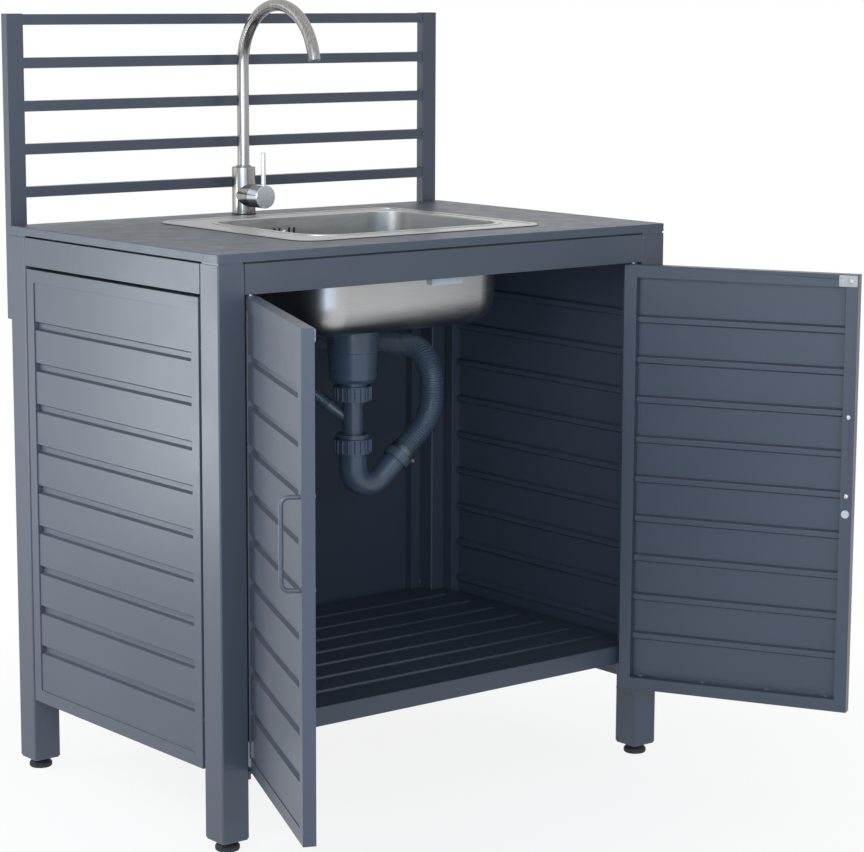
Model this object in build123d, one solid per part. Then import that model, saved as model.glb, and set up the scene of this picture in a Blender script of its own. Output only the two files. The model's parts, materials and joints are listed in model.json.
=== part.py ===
from build123d import *
import os
from math import atan2, cos, degrees, radians, sin

# Free-standing kitchen sink unit: a steel cabinet on four legs with two cassette doors, a slab
# worktop, an inset steel sink with its waste, a swivelling tap and a slatted upstand.
# Millimetres. X runs to the right, Y to the back, Z up. Everything is laid out round the middle
# of the cabinet's base and moved at the end, so that the origin is the bottom centre of the box
# round the whole unit with its doors standing open.

# ---------------------------------------------------------------- cabinet sizes
WIDTH = 885.0
DEPTH = 597.0
HEIGHT = 900.0
WORKTOP_T = 13.0
WORKTOP_CORNER = 3.0
WORKTOP_EDGE = 1.0
SHADOW_GAP = 3.0  # dark line between the frame and the worktop
LEG = 48.0
LEG_WALL = 2.0
LEG_CORNER = 3.0
LEG_CLEARANCE = 19.0  # floor to the lower end of a leg
APRON_H = 45.0
APRON_T = 20.0
TUBE_WALL = 1.5
FACE_GAP = 0.3  # running gap between faces that pass each other
OVERRUN = 1.0  # how far a cutting solid runs past the face it opens
PIN_GAP = 0.05  # radial gap of a pin in its hole

# ---------------------------------------------------------------- cassette panels
STILE = 20.0
PANEL_T = 20.0
SHEET_T = 1.2
SHEET_RECESS = 1.7
GROOVE_PITCH = 66.5
GROOVE_H = 14.5
GROOVE_DEPTH = 6.5
GROOVE_SLOPE = 3.0
GROOVE_END = 40.0  # least distance from an end of the sheet to a groove's middle
PANEL_BOTTOM = 123.0
PANEL_TOP_GAP = 5.0
PANEL_LEG_GAP = 4.5
FIXING_R = 2.5
FIXING_SPACER_R = 6.0
FIXING_GRIP = 8.0
FIXING_INSET = 75.0  # from the ends of a panel

# ---------------------------------------------------------------- floor
FLOOR_TOP = 190.0
FLOOR_RAIL_H = 28.5
FLOOR_RAIL_T = 25.0
FLOOR_SHEET_T = 1.5
FLOOR_SETBACK = 25.0  # behind the front plane, clear of the closed doors
FLOOR_SIDE_GAP = 1.0
FLOOR_LEG_GAP = 1.0
FLOOR_BORDER = 3.0  # flat strip between a rail and the ends of the grooves

# ---------------------------------------------------------------- levelling feet
FOOT_R = 18.0
FOOT_PAD_H = 8.0
FOOT_CHAMFER = 1.0
FOOT_NECK_R = 10.0
FOOT_STEM_R = 5.0
FOOT_STEM_TOP = 60.0
PLUG_FLANGE = 2.5
PLUG_DEPTH = 25.0
PLUG_GAP = 0.2
CAP_INSET = 2.0
CAP_DEPTH = 12.0

# ---------------------------------------------------------------- doors
LEFT_OPEN = 113.5  # degrees from shut, as the unit stands
RIGHT_OPEN = 118.0
DOOR_T = 19.0
DOOR_TOP_GAP = 3.0
DOOR_LEG_GAP = 3.5
DOOR_CENTRE_GAP = 4.0
HINGE_DEPTH = 8.0  # pin axis behind the outer face
PIN_R = 4.0
PIN_COLLAR_R = 6.0
PIN_COLLAR_T = 2.0
PIN_GRIP = 14.0  # length of pin inside the door
BUSH_R = 6.0
BUSH_FLANGE_R = 8.0
BUSH_FLANGE_T = 1.2
BUSH_LENGTH = 16.0
BUSH_BORE_GAP = 0.08
BRACKET_T = 4.0
BRACKET_REACH = 20.0
BRACKET_DROP = 12.0
BRACKET_FRONT_INSET = 1.0
BRACKET_D = 24.0
HANDLE_SPAN = 128.0
HANDLE_REACH = 30.0
HANDLE_WIRE_R = 3.5
HANDLE_BEND = 11.0
HANDLE_RISE = 64.5  # above the middle of the door
SCREW_R = 2.0
SCREW_HEAD_R = 4.0
SCREW_HEAD_T = 2.0
SCREW_BITE = 8.0
STRIKE_W = 30.0
STRIKE_H = 18.0
STRIKE_T = 1.2
STRIKE_INSET = 1.0
BUMPER_R = 6.5
BUMPER_T = 3.0
BUMPER_DROP = 29.0  # below the lower handle screw
CATCH_W = 60.0
CATCH_H = 12.5
CATCH_D = 14.0
CATCH_FLANGE_T = 3.0
CATCH_FLANGE_H = 24.0
MAGNET_W = 22.0
MAGNET_H = 9.0
MAGNET_D = 9.0
MAGNET_SPACING = 32.0
MAGNET_PROUD = 0.6

# ---------------------------------------------------------------- worktop fixing tabs
TAB_X = 300.0
TAB_W = 36.0
TAB_REACH = 30.0
TAB_DROP = 28.0
TAB_T = 3.0
TOP_SCREW_BITE = 9.0
TOP_SCREW_HEAD_R = 5.0

# ---------------------------------------------------------------- sink
SINK_X = 16.5
SINK_W = 489.0
SINK_FRONT_LAND = 84.5  # worktop in front of the sink
SINK_REAR_LAND = 92.5
SINK_CORNER = 40.0
RIM_H = 2.5
RIM_ROUND = 2.0
RIM_LIP = 2.0
DECK_H = 1.5
OUTER_BEAD = 11.0
INNER_BEAD = 12.0
SINK_T = 1.0
CUTOUT_LAP = 12.0
BOWL_X = 31.0
BOWL_W = 388.0
BOWL_LAND = 54.0  # deck before and behind the bowl
BOWL_CORNER = 58.0
BOWL_DEPTH = 164.0
BOWL_FILLET = 52.0
DRAIN_SHIFT = (4.0, 17.0)  # from the bowl's middle
OVERFLOW_X = -3.0
OVERFLOW_DROP = 23.0
SLOT_PLACES = (-2, -1, 1, 2)  # in pitches from the overflow's screw
SLOT_W = 4.5
SLOT_H = 13.0
SLOT_PITCH = 10.0
CLIP_W = 14.0
CLIP_T = 3.0
CLIP_GRIP = 10.0
CLIP_STUD_R = 2.5
CLIP_STUD_INSET = 10.0
CLIP_STUD_TAIL = 8.0

# ---------------------------------------------------------------- waste and trap
PLASTIC_WALL = 2.5
FLANGE_R = 56.0
FLANGE_T = 1.5
THROAT_R = 41.0
THROAT_DEPTH = 20.0
THROAT_LIP = 6.0
WASTE_R = 44.2
WASTE_BAND_R = 42.2
WASTE_FOOT_R = 38.7
WASTE_RIM_H = 28.0
WASTE_BAND_H = 19.0
WASTE_STEP = 1.0  # edge of the band and of the foot
WASTE_FOOT_H = 6.0
WASTE_FOOT_SLOPE = 4.0
WASTE_THROAT_TAPER = 2.0
WASTE_H = 98.0
SPIGOT_R = 25.0
NUT_R = 30.5
NUT_H = 25.0
NUT_RIBS = 18
NUT_RIB_R = 1.6
NUT_RIB_INSET = 2.0
NUT_LIP = 4.0
UPPER_NUT_DROP = 7.0  # below the waste
TAIL_R = 17.6
TAIL_WALL = 2.0
TAIL_COLLAR_R = 27.6
TAIL_COLLAR_H = 7.0
LOWER_NUT_DROP = 95.0  # below the waste
TAIL_TUCK = 27.0  # into the lower nut and the trap
BRANCH_LIFT = 24.0  # above the lower nut
BRANCH_RISE = 38.0  # degrees above level
BRANCH_HEADING = 143.0  # degrees from +X, towards the back left
BRANCH_R = 9.0
BRANCH_LENGTH = 36.0
BARB_R = 6.3
BARB_LENGTH = 14.0
TRAP_IN_R = 23.6
TRAP_OUT_R = 19.6
TRAP_TURN = 135.0
TRAP_BEND_R = 30.0
TRAP_DROP = 50.0  # from the lower nut to the bend
TRAP_HEADING = -10.0  # degrees from +X
TRAP_ARM = 46.0
TRAP_STEPS = 12
COLLAR_R = 24.0
COLLAR_LENGTH = 15.0
HOSE_R = 20.0
HOSE_VALLEY_R = 17.8
HOSE_BORE_R = 16.0
HOSE_PITCH = 4.6
HOSE_CUFF = 14.0
HOSE_RISER_REACH = 150.0  # from the drain's axis to the upright stretch
HOSE_TOP_DROP = 53.0  # below the bowl
HOSE_LOWER_BEND = 90.0
HOSE_UPPER_BEND = 62.0
OUTLET_FLANGE_R = 34.0
OUTLET_FLANGE_T = 3.0
OUTLET_NOZZLE = 22.0
OUTLET_SPIGOT = 16.0
OUTLET_SHANK_R = 22.0  # where it passes the back sheet
OVER_HOSE_R = 10.4
OVER_VALLEY_R = 9.0
OVER_BORE_R = 6.5
OVER_PITCH = 4.4
OVER_CUFF = 17.0
OVER_BEND_LOW = 42.0
OVER_BEND_HIGH = 38.0
OVER_LOW_RUN = 96.0
OVER_CORNER_DROP = 24.0  # below the bowl
HOUSING_W = 52.0
HOUSING_H = 34.0
HOUSING_D = 22.0
HOUSING_LID = 4.0
HOUSING_LID_INSET = 6.0
HOUSING_NOZZLE = 16.0

# ---------------------------------------------------------------- strainer basket
BASKET_R = 33.0
BASKET_FOOT_R = 27.0
BASKET_DEPTH = 26.0
BASKET_T = 0.8
BASKET_RIM_R = 40.0
BASKET_POST_R = 4.0
BASKET_KNOB_R = 9.0
BASKET_KNOB_H = 5.0
BASKET_POST_H = 40.0
BASKET_HOLE_R = 2.2
BASKET_HOLES = 10
BASKET_HOLE_RING = 17.0

# ---------------------------------------------------------------- tap
TAP_X = -10.0
TAP_SETBACK = 38.5  # from the back of the cabinet
TAP_R = 20.0
TAP_BODY_H = 80.0
TAP_CHAMFER = 0.8
STUB_R = 19.4
STUB_Z = 32.4
STUB_REACH = 37.0
HUB_LENGTH = 28.0
HUB_CAVITY_R = 12.0
HUB_CAVITY_D = 14.0
CHAMBER_R = 15.0
CHAMBER_D = 14.0
CARTRIDGE_T = 9.0
STEM_R = 4.0
STEM_REACH = 10.0
LEVER_R = 4.0
LEVER_TOP = 106.0
LEVER_SETBACK = 7.0  # behind the hub's end face
LEVER_SINK = 8.0
SPOUT_R = 10.2
SPOUT_WALL = 1.4
SPOUT_SEAT = 30.0
SPOUT_SHOULDER = 249.0  # worktop to the start of the arch
SPOUT_ARCH_R = 102.5
SPOUT_TURN = 170.0
SPOUT_TIP = 3.0
AERATOR_R = 8.7
AERATOR_LENGTH = 9.0
AERATOR_PROUD = 1.5
AERATOR_BORE_R = 6.5
SHANK_R = 13.5
SHANK_LENGTH = 58.0
TAP_HOLE_R = 16.5
NUT_FLATS = 32.0
BACKNUT_H = 9.0
WASHER_T = 2.5
WASHER_R = 17.5
INLET_R = 4.5
INLET_DEPTH = 14.0
INLET_SPACING = 12.0

# ---------------------------------------------------------------- upstand
POST_W = 30.0
POST_D = 17.0
POST_INSET = 3.5  # from the sides of the cabinet
POST_DROP = 153.0  # below the worktop's top
POST_RISE = 337.0
BAR_H = 17.0
BAR_D = 15.0
BAR_PITCH = 69.0
BAR_COUNT = 5
BAR_TOP_INSET = 1.0
BOLT_R = 3.0
BOLT_HEAD_R = 6.0
BOLT_HEAD_T = 3.5
BOLT_BITE = 10.0
BOLT_DROPS = (128.0, 38.0)  # below the worktop's top

# ---------------------------------------------------------------- derived places
OUT_X = WIDTH / 2
OUT_Y = DEPTH / 2
IN_X = OUT_X - LEG  # inner faces of the legs
IN_Y = OUT_Y - LEG
WORKTOP_BOTTOM = HEIGHT - WORKTOP_T
LEG_TOP = WORKTOP_BOTTOM - SHADOW_GAP
APRON_BOTTOM = LEG_TOP - APRON_H
PANEL_TOP = APRON_BOTTOM - PANEL_TOP_GAP
DOOR_TOP = APRON_BOTTOM - DOOR_TOP_GAP
DOOR_X = -IN_X + DOOR_LEG_GAP  # hinge edge of the left door
DOOR_W = -DOOR_CENTRE_GAP / 2 - DOOR_X
DOOR_MID = (PANEL_BOTTOM + DOOR_TOP) / 2
HANDLE_X = -DOOR_CENTRE_GAP / 2 - STILE / 2
DOOR_INNER = -OUT_Y + DOOR_T
PIVOT_X = IN_X - DOOR_LEG_GAP - STILE / 2
PIVOT_Y = -OUT_Y + HINGE_DEPTH
BRACKET_TOP = PANEL_BOTTOM - BUSH_FLANGE_T - FACE_GAP
BOWL_BOTTOM = HEIGHT - BOWL_DEPTH
BOWL_UNDER = BOWL_BOTTOM - SINK_T
SINK_D = DEPTH - SINK_FRONT_LAND - SINK_REAR_LAND
SINK_Y = (SINK_FRONT_LAND - SINK_REAR_LAND) / 2
BOWL_Y = SINK_Y
BOWL_D = SINK_D - 2 * BOWL_LAND
DRAIN = (BOWL_X + DRAIN_SHIFT[0], BOWL_Y + DRAIN_SHIFT[1])
WASTE_BOTTOM = BOWL_UNDER - WASTE_H
UPPER_NUT_TOP = WASTE_BOTTOM - UPPER_NUT_DROP
LOWER_NUT_TOP = WASTE_BOTTOM - LOWER_NUT_DROP
TAIL_END = LOWER_NUT_TOP - TAIL_TUCK
BRANCH_Z = LOWER_NUT_TOP + BRANCH_LIFT
TRAP_BEND_Z = LOWER_NUT_TOP - TRAP_DROP
HOSE_TOP = BOWL_BOTTOM - HOSE_TOP_DROP
OVER_CORNER_Z = BOWL_BOTTOM - OVER_CORNER_DROP
TAP_Y = OUT_Y - TAP_SETBACK
POST_BOTTOM = HEIGHT - POST_DROP
POST_TOP = HEIGHT + POST_RISE
BOLT_ZS = tuple(HEIGHT - drop for drop in BOLT_DROPS)
FLOOR_UNDER = FLOOR_TOP - FLOOR_SHEET_T
RAIL_BOTTOM = FLOOR_UNDER - FLOOR_RAIL_H
OVERFLOW_Z = HEIGHT - OVERFLOW_DROP


# ---------------------------------------------------------------- shape helpers
def block(x0, x1, y0, y1, z0, z1):
    """A box between two opposite corners."""
    middle = Pos((x0 + x1) / 2, (y0 + y1) / 2, (z0 + z1) / 2)
    return middle * Box(x1 - x0, y1 - y0, z1 - z0)


def open_tube(x0, x1, y0, y1, z0, z1, wall, along):
    """A rectangular tube, open at both ends along one axis."""
    skin = [0 if axis == along else wall for axis in "xyz"]
    inside = block(
        x0 + skin[0], x1 - skin[0], y0 + skin[1], y1 - skin[1], z0 + skin[2], z1 - skin[2]
    )
    return block(x0, x1, y0, y1, z0, z1) - inside


def rod(start, end, radius):
    """A round bar from one point to another."""
    axis = Vector(*end) - Vector(*start)
    return Solid.make_cylinder(radius, axis.length, Plane(origin=start, z_dir=axis))


def rounded_plate(x, y, width, depth, corner, z0, z1):
    """A level plate with rounded corners, centred on x, y."""
    return extrude(Pos(x, y, z0) * RectangleRounded(width, depth, corner), z1 - z0)


def turned(profile, x, y):
    """A body of revolution about an upright axis, from points of radius and height."""
    outline = make_face(Polyline(*[(r, 0, z) for r, z in profile], close=True))
    return Pos(x, y, 0) * revolve(outline, Axis.Z)


def prism(points, direction):
    """A straight prism from a closed outline of points in space."""
    return Solid.extrude(make_face(Polyline(*points, close=True)).face(), Vector(*direction))


def lofted_tube(stations, steady):
    """A ruled tube through circles; each station is a point, a direction and a radius."""
    rings = []
    for point, direction, radius in stations:
        heading = Vector(*direction).normalized()
        across = Vector(*steady) - heading * Vector(*steady).dot(heading)
        rings.append(Wire.make_circle(radius, Plane(origin=point, x_dir=across, z_dir=heading)))
    return Solid.make_loft(rings, ruled=True)


def at(path, distance):
    """Point and direction of a path at a distance from its start."""
    point = path.position_at(distance, position_mode=PositionMode.LENGTH)
    direction = path.tangent_at(distance, position_mode=PositionMode.LENGTH)
    return tuple(point), tuple(direction)


def ribbed_hose(path, outer, valley, bore, pitch, cuff, steady):
    """A hose with a smooth cuff at each end and ribs of four circles each between them."""
    length = path.length
    ribs = int((length - 2 * cuff) / pitch)
    first = (length - ribs * pitch) / 2
    marks = [(0.0, outer), (first - pitch / 4, outer)]
    for rib in range(ribs):
        start = first + rib * pitch
        marks += [(start, valley), (start + pitch / 4, outer)]
        marks += [(start + pitch / 2, outer), (start + pitch * 3 / 4, valley)]
    marks += [(length - first, outer), (length, outer)]
    skin = lofted_tube([(*at(path, distance), radius) for distance, radius in marks], steady)
    steps = int(length / pitch)
    core = [(*at(path, length * step / steps), bore) for step in range(steps + 1)]
    print("hose", round(length, 1), "mm long,", ribs, "ribs")
    return skin - lofted_tube(core, steady)


# ---------------------------------------------------------------- cassette panels
def mitred_frame(width, height, thickness):
    """Four mitred square tubes round an opening, in a plane of X and Z with its face at y = 0."""
    inner = STILE - TUBE_WALL
    ring = block(0, width, 0, thickness, 0, height)
    ring -= block(STILE, width - STILE, 0, thickness, STILE, height - STILE)
    hollow = block(TUBE_WALL, width - TUBE_WALL, TUBE_WALL, thickness - TUBE_WALL,
                   TUBE_WALL, height - TUBE_WALL)
    hollow -= block(inner, width - inner, TUBE_WALL, thickness - TUBE_WALL, inner, height - inner)
    ring -= hollow
    low = (STILE, 0, STILE)
    low_right = (width - STILE, 0, STILE)
    high = (STILE, 0, height - STILE)
    high_right = (width - STILE, 0, height - STILE)
    quarters = [
        [(0, 0, 0), (width, 0, 0), low_right, low],
        [(0, 0, height), (width, 0, height), high_right, high],
        [(0, 0, 0), low, high, (0, 0, height)],
        [(width, 0, 0), low_right, high_right, (width, 0, height)],
    ]
    return [ring & prism(quarter, (0, thickness, 0)) for quarter in quarters]


def groove_centres(height):
    """Heights of the pressed grooves, spread evenly about the middle of an opening."""
    count = int((height - 2 * GROOVE_END) // GROOVE_PITCH) + 1
    return [height / 2 + (place - (count - 1) / 2) * GROOVE_PITCH for place in range(count)]


def pressed_sheet(width, height):
    """A sheet with grooves pressed away from its face at y = 0, running along X."""
    face = [(0.0, 0.0)]
    for centre in groove_centres(height):
        low = centre - GROOVE_H / 2
        high = centre + GROOVE_H / 2
        face += [(low, 0), (low + GROOVE_SLOPE, GROOVE_DEPTH)]
        face += [(high - GROOVE_SLOPE, GROOVE_DEPTH), (high, 0)]
    face.append((height, 0.0))
    back = [(z, y + SHEET_T) for z, y in reversed(face)]
    return prism([(0, y, z) for z, y in face + back], (width, 0, 0))


def cassette(width, height, thickness):
    """Frame tubes and grooved sheet of one panel, outer face at y = 0, corner at the origin."""
    sheet = pressed_sheet(width - 2 * STILE, height - 2 * STILE)
    return mitred_frame(width, height, thickness), Pos(STILE, SHEET_RECESS, STILE) * sheet


# ---------------------------------------------------------------- panel fixings
def side_fixings(side):
    """Spacer bolts that hold a side panel between its legs, as middle point and direction."""
    x = side * (OUT_X - PANEL_T / 2)
    y = IN_Y - PANEL_LEG_GAP / 2
    heights = (PANEL_BOTTOM + FIXING_INSET, PANEL_TOP - FIXING_INSET)
    return [((x, end * y, z), (0, 1, 0)) for end in (-1, 1) for z in heights]


def back_fixings():
    """Spacer bolts that hold the back panel between the rear legs."""
    x = IN_X - PANEL_LEG_GAP / 2
    y = OUT_Y - PANEL_T / 2
    heights = (PANEL_BOTTOM + FIXING_INSET, PANEL_TOP - FIXING_INSET)
    return [((end * x, y, z), (1, 0, 0)) for end in (-1, 1) for z in heights]


def bolt_through(place, radius, half_length):
    middle, direction = place
    step = Vector(*direction) * half_length
    return rod(tuple(Vector(*middle) - step), tuple(Vector(*middle) + step), radius)


def fixing_bolt(place):
    half_gap = PANEL_LEG_GAP / 2
    spacer = bolt_through(place, FIXING_SPACER_R, half_gap)
    return spacer + bolt_through(place, FIXING_R, half_gap + FIXING_GRIP)


def fixing_holes(places):
    half_length = PANEL_LEG_GAP / 2 + FIXING_GRIP
    return [bolt_through(place, FIXING_R + PIN_GAP, half_length) for place in places]


# ---------------------------------------------------------------- frame
def leg(x_side, y_side):
    """One square leg, drilled for the bolts of the panels and, at the back, of the upstand."""
    x = x_side * (OUT_X - LEG / 2)
    y = y_side * (OUT_Y - LEG / 2)
    shell = rounded_plate(x, y, LEG, LEG, LEG_CORNER, LEG_CLEARANCE, LEG_TOP)
    bore = LEG - 2 * LEG_WALL
    shell -= rounded_plate(x, y, bore, bore, LEG_CORNER - LEG_WALL, LEG_CLEARANCE, LEG_TOP)
    places = [place for place in side_fixings(x_side) if place[0][1] * y_side > 0]
    if y_side > 0:
        places += [place for place in back_fixings() if place[0][0] * x_side > 0]
        for z in BOLT_ZS:
            shell -= rod((x_side * POST_X, OUT_Y + OVERRUN, z),
                         (x_side * POST_X, OUT_Y - BOLT_BITE, z), BOLT_R + PIN_GAP)
    return shell - fixing_holes(places)


def leg_end_plugs():
    """A seat for the worktop in the top of each leg and a threaded socket in its foot."""
    plugs = []
    plug = LEG - 2 * LEG_WALL - 2 * PLUG_GAP
    corner = LEG_CORNER - LEG_WALL
    for x_side in (-1, 1):
        for y_side in (-1, 1):
            x = x_side * (OUT_X - LEG / 2)
            y = y_side * (OUT_Y - LEG / 2)
            cap = rounded_plate(x, y, plug, plug, corner, LEG_TOP - CAP_DEPTH, LEG_TOP)
            cap_size = LEG - 2 * CAP_INSET
            cap += rounded_plate(x, y, cap_size, cap_size, corner, LEG_TOP, WORKTOP_BOTTOM)
            socket_top = LEG_CLEARANCE + PLUG_DEPTH
            socket = rounded_plate(x, y, plug, plug, corner, LEG_CLEARANCE, socket_top)
            socket += rounded_plate(x, y, plug + LEG_WALL, plug + LEG_WALL, LEG_CORNER,
                                    LEG_CLEARANCE - PLUG_FLANGE, LEG_CLEARANCE)
            socket -= rod((x, y, 0), (x, y, socket_top), FOOT_STEM_R + PIN_GAP)
            plugs += [cap, socket]
    return plugs


def levelling_foot(x_side, y_side):
    """Pad, neck and threaded stem of one adjustable foot, screwed fully in."""
    shoulder = LEG_CLEARANCE - PLUG_FLANGE - FACE_GAP
    profile = [(0, 0), (FOOT_R - FOOT_CHAMFER, 0), (FOOT_R, FOOT_CHAMFER), (FOOT_R, FOOT_PAD_H),
               (FOOT_NECK_R, shoulder), (FOOT_STEM_R, shoulder), (FOOT_STEM_R, FOOT_STEM_TOP),
               (0, FOOT_STEM_TOP)]
    return turned(profile, x_side * (OUT_X - LEG / 2), y_side * (OUT_Y - LEG / 2))


def front_apron():
    """Rail over the doors, with holes for the upper hinge pins and welded worktop tabs."""
    rail = open_tube(-IN_X, IN_X, -OUT_Y, -OUT_Y + APRON_T, APRON_BOTTOM, LEG_TOP, TUBE_WALL, "x")
    for side in (-1, 1):
        foot = (side * PIVOT_X, PIVOT_Y, APRON_BOTTOM - OVERRUN)
        head = (side * PIVOT_X, PIVOT_Y, APRON_BOTTOM + TUBE_WALL)
        rail -= rod(foot, head, PIN_R + PIN_GAP)
    return rail + worktop_tabs(-1)


def rear_apron():
    rail = open_tube(-IN_X, IN_X, OUT_Y - APRON_T, OUT_Y, APRON_BOTTOM, LEG_TOP, TUBE_WALL, "x")
    return rail + worktop_tabs(1)


def worktop_tabs(y_side):
    """Angle tabs on the inside of an apron, level with the worktop's underside."""
    wall = y_side * (OUT_Y - APRON_T)
    tip = wall - y_side * TAB_REACH
    skin = wall - y_side * TAB_T
    tabs = []
    for x in (-TAB_X, TAB_X):
        left = x - TAB_W / 2
        right = x + TAB_W / 2
        tab = block(left, right, min(wall, tip), max(wall, tip), LEG_TOP, WORKTOP_BOTTOM)
        tab += block(left, right, min(wall, skin), max(wall, skin), LEG_TOP - TAB_DROP, LEG_TOP)
        tabs.append(tab - rod((x, tab_hole_y(y_side), LEG_TOP - OVERRUN),
                              (x, tab_hole_y(y_side), WORKTOP_BOTTOM), FIXING_R + PIN_GAP))
    return tabs


def tab_hole_y(y_side):
    return y_side * (OUT_Y - APRON_T - TAB_REACH / 2 - TAB_T / 2)


def worktop_screws():
    """Screws up through the tabs into the worktop."""
    screws = []
    for y_side in (-1, 1):
        for x in (-TAB_X, TAB_X):
            y = tab_hole_y(y_side)
            head = rod((x, y, LEG_TOP - SCREW_HEAD_T), (x, y, LEG_TOP), TOP_SCREW_HEAD_R)
            screws.append(head + rod((x, y, LEG_TOP), (x, y, WORKTOP_BOTTOM + TOP_SCREW_BITE),
                                     FIXING_R))
    return screws


def side_aprons():
    rails = []
    for side in (-1, 1):
        outer = side * OUT_X
        inner = side * (OUT_X - APRON_T)
        rails.append(open_tube(min(outer, inner), max(outer, inner), -IN_Y, IN_Y, APRON_BOTTOM,
                               LEG_TOP, TUBE_WALL, "y"))
    return rails


def side_panel(side):
    """Frame tubes and sheet of a side panel, its face flush with the outside of the legs."""
    width = 2 * (IN_Y - PANEL_LEG_GAP)
    frame, sheet = cassette(width, PANEL_TOP - PANEL_BOTTOM, PANEL_T)
    turn = -side * 90
    place = Pos(side * OUT_X, side * -width / 2, PANEL_BOTTOM) * Rot(0, 0, -turn)
    holes = fixing_holes(side_fixings(side))
    return [(place * tube) - holes for tube in frame], place * sheet


def back_panel():
    """Frame tubes and plain sheet between the rear legs, with a hole for the waste outlet."""
    width = 2 * (IN_X - PANEL_LEG_GAP)
    height = PANEL_TOP - PANEL_BOTTOM
    place = Pos(width / 2, OUT_Y, PANEL_BOTTOM) * Rot(0, 0, 180)
    holes = fixing_holes(back_fixings())
    frame = [(place * tube) - holes for tube in mitred_frame(width, height, PANEL_T)]
    sheet = block(-width / 2 + STILE, width / 2 - STILE, OUT_Y - SHEET_RECESS - SHEET_T,
                  OUT_Y - SHEET_RECESS, PANEL_BOTTOM + STILE, PANEL_TOP - STILE)
    hole_start = (HOSE_RISER[0], OUT_Y - PANEL_T, HOSE_TOP)
    sheet -= rod(hole_start, (HOSE_RISER[0], OUT_Y, HOSE_TOP), OUTLET_SHANK_R + PIN_GAP)
    return frame, sheet


def floor_rails():
    """Four rails between the legs that carry the floor."""
    front = -OUT_Y + FLOOR_SETBACK
    rails = []
    for near, far in ((front, front + FLOOR_RAIL_T), (-front - FLOOR_RAIL_T, -front)):
        rails.append(open_tube(-IN_X, IN_X, near, far, RAIL_BOTTOM, FLOOR_UNDER, TUBE_WALL, "x"))
    outer = OUT_X - PANEL_T - FLOOR_SIDE_GAP
    for left in (-outer, outer - FLOOR_RAIL_T):
        rails.append(open_tube(left, left + FLOOR_RAIL_T, -IN_Y, IN_Y, RAIL_BOTTOM, FLOOR_UNDER,
                               TUBE_WALL, "y"))
    return rails


def floor_groove(y, length, width, top, depth):
    """A shallow trough with sloping walls on all four sides."""
    slope = degrees(atan2(GROOVE_SLOPE, GROOVE_DEPTH))
    return extrude(Pos(0, y, top) * Rectangle(length, width), -depth, taper=slope)


def floor_sheet():
    """Floor tray with closed grooves pressed down between the rails, notched for the legs."""
    half_x = OUT_X - PANEL_T - FLOOR_SIDE_GAP
    half_y = OUT_Y - FLOOR_SETBACK
    sheet = block(-half_x, half_x, -half_y, half_y, FLOOR_UNDER, FLOOR_TOP)
    notch_x = IN_X - FLOOR_LEG_GAP
    notch_y = IN_Y - FLOOR_LEG_GAP
    for x0, x1 in ((-half_x, -notch_x), (notch_x, half_x)):
        for y0, y1 in ((-half_y, -notch_y), (notch_y, half_y)):
            sheet -= block(x0, x1, y0, y1, FLOOR_UNDER, FLOOR_TOP)
    length = 2 * (half_x - FLOOR_RAIL_T - FLOOR_BORDER)
    span = 2 * (half_y - FLOOR_RAIL_T)
    for centre in groove_centres(span):
        y = centre - span / 2
        outside = floor_groove(y, length, GROOVE_H, FLOOR_UNDER, GROOVE_DEPTH)
        inside = floor_groove(y, length - 2 * FLOOR_SHEET_T, GROOVE_H - 2 * FLOOR_SHEET_T,
                              FLOOR_TOP, GROOVE_DEPTH)
        sheet = sheet + outside - inside
    return sheet


def worktop():
    """Slab with the sink cut-out, the tap hole and blind screw holes."""
    slab = rounded_plate(0, 0, WIDTH, DEPTH, WORKTOP_CORNER, WORKTOP_BOTTOM, HEIGHT)
    slab = chamfer(slab.edges().group_by(Axis.Z)[-1], WORKTOP_EDGE)
    slab -= rounded_plate(SINK_X, SINK_Y, SINK_W - 2 * CUTOUT_LAP, SINK_D - 2 * CUTOUT_LAP,
                          SINK_CORNER - CUTOUT_LAP, WORKTOP_BOTTOM, HEIGHT)
    slab -= rod((TAP_X, TAP_Y, WORKTOP_BOTTOM), (TAP_X, TAP_Y, HEIGHT), TAP_HOLE_R)
    for y_side in (-1, 1):
        for x in (-TAB_X, TAB_X):
            y = tab_hole_y(y_side)
            slab -= rod((x, y, WORKTOP_BOTTOM), (x, y, WORKTOP_BOTTOM + TOP_SCREW_BITE),
                        FIXING_R + PIN_GAP)
    return slab


# ---------------------------------------------------------------- doors
def strike_plate():
    """Plate that the catch pulls, its screw, and the hole for that screw."""
    right = -DOOR_CENTRE_GAP / 2 - STRIKE_INSET
    top = DOOR_TOP - STRIKE_INSET
    plate = block(right - STRIKE_W, right, DOOR_INNER, DOOR_INNER + STRIKE_T, top - STRIKE_H, top)
    x = right - STRIKE_W / 2
    z = top - STRIKE_H / 2
    inner = (x, DOOR_INNER - SCREW_BITE / 2, z)
    outer = (x, DOOR_INNER + STRIKE_T, z)
    hole = rod(inner, outer, SCREW_R + PIN_GAP)
    return plate - hole, rod(inner, outer, SCREW_R), hole


def door_holes(handle_ends):
    """Holes for the handle screws and for the hinge bushes."""
    holes = [rod((HANDLE_X, -OUT_Y, z), (HANDLE_X, DOOR_INNER, z), SCREW_R + PIN_GAP)
             for z in handle_ends]
    for z in (PANEL_BOTTOM, DOOR_TOP):
        holes.append(rod((-PIVOT_X, PIVOT_Y, z - TUBE_WALL), (-PIVOT_X, PIVOT_Y, z + TUBE_WALL),
                         BUSH_R + PIN_GAP))
    return holes


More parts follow.
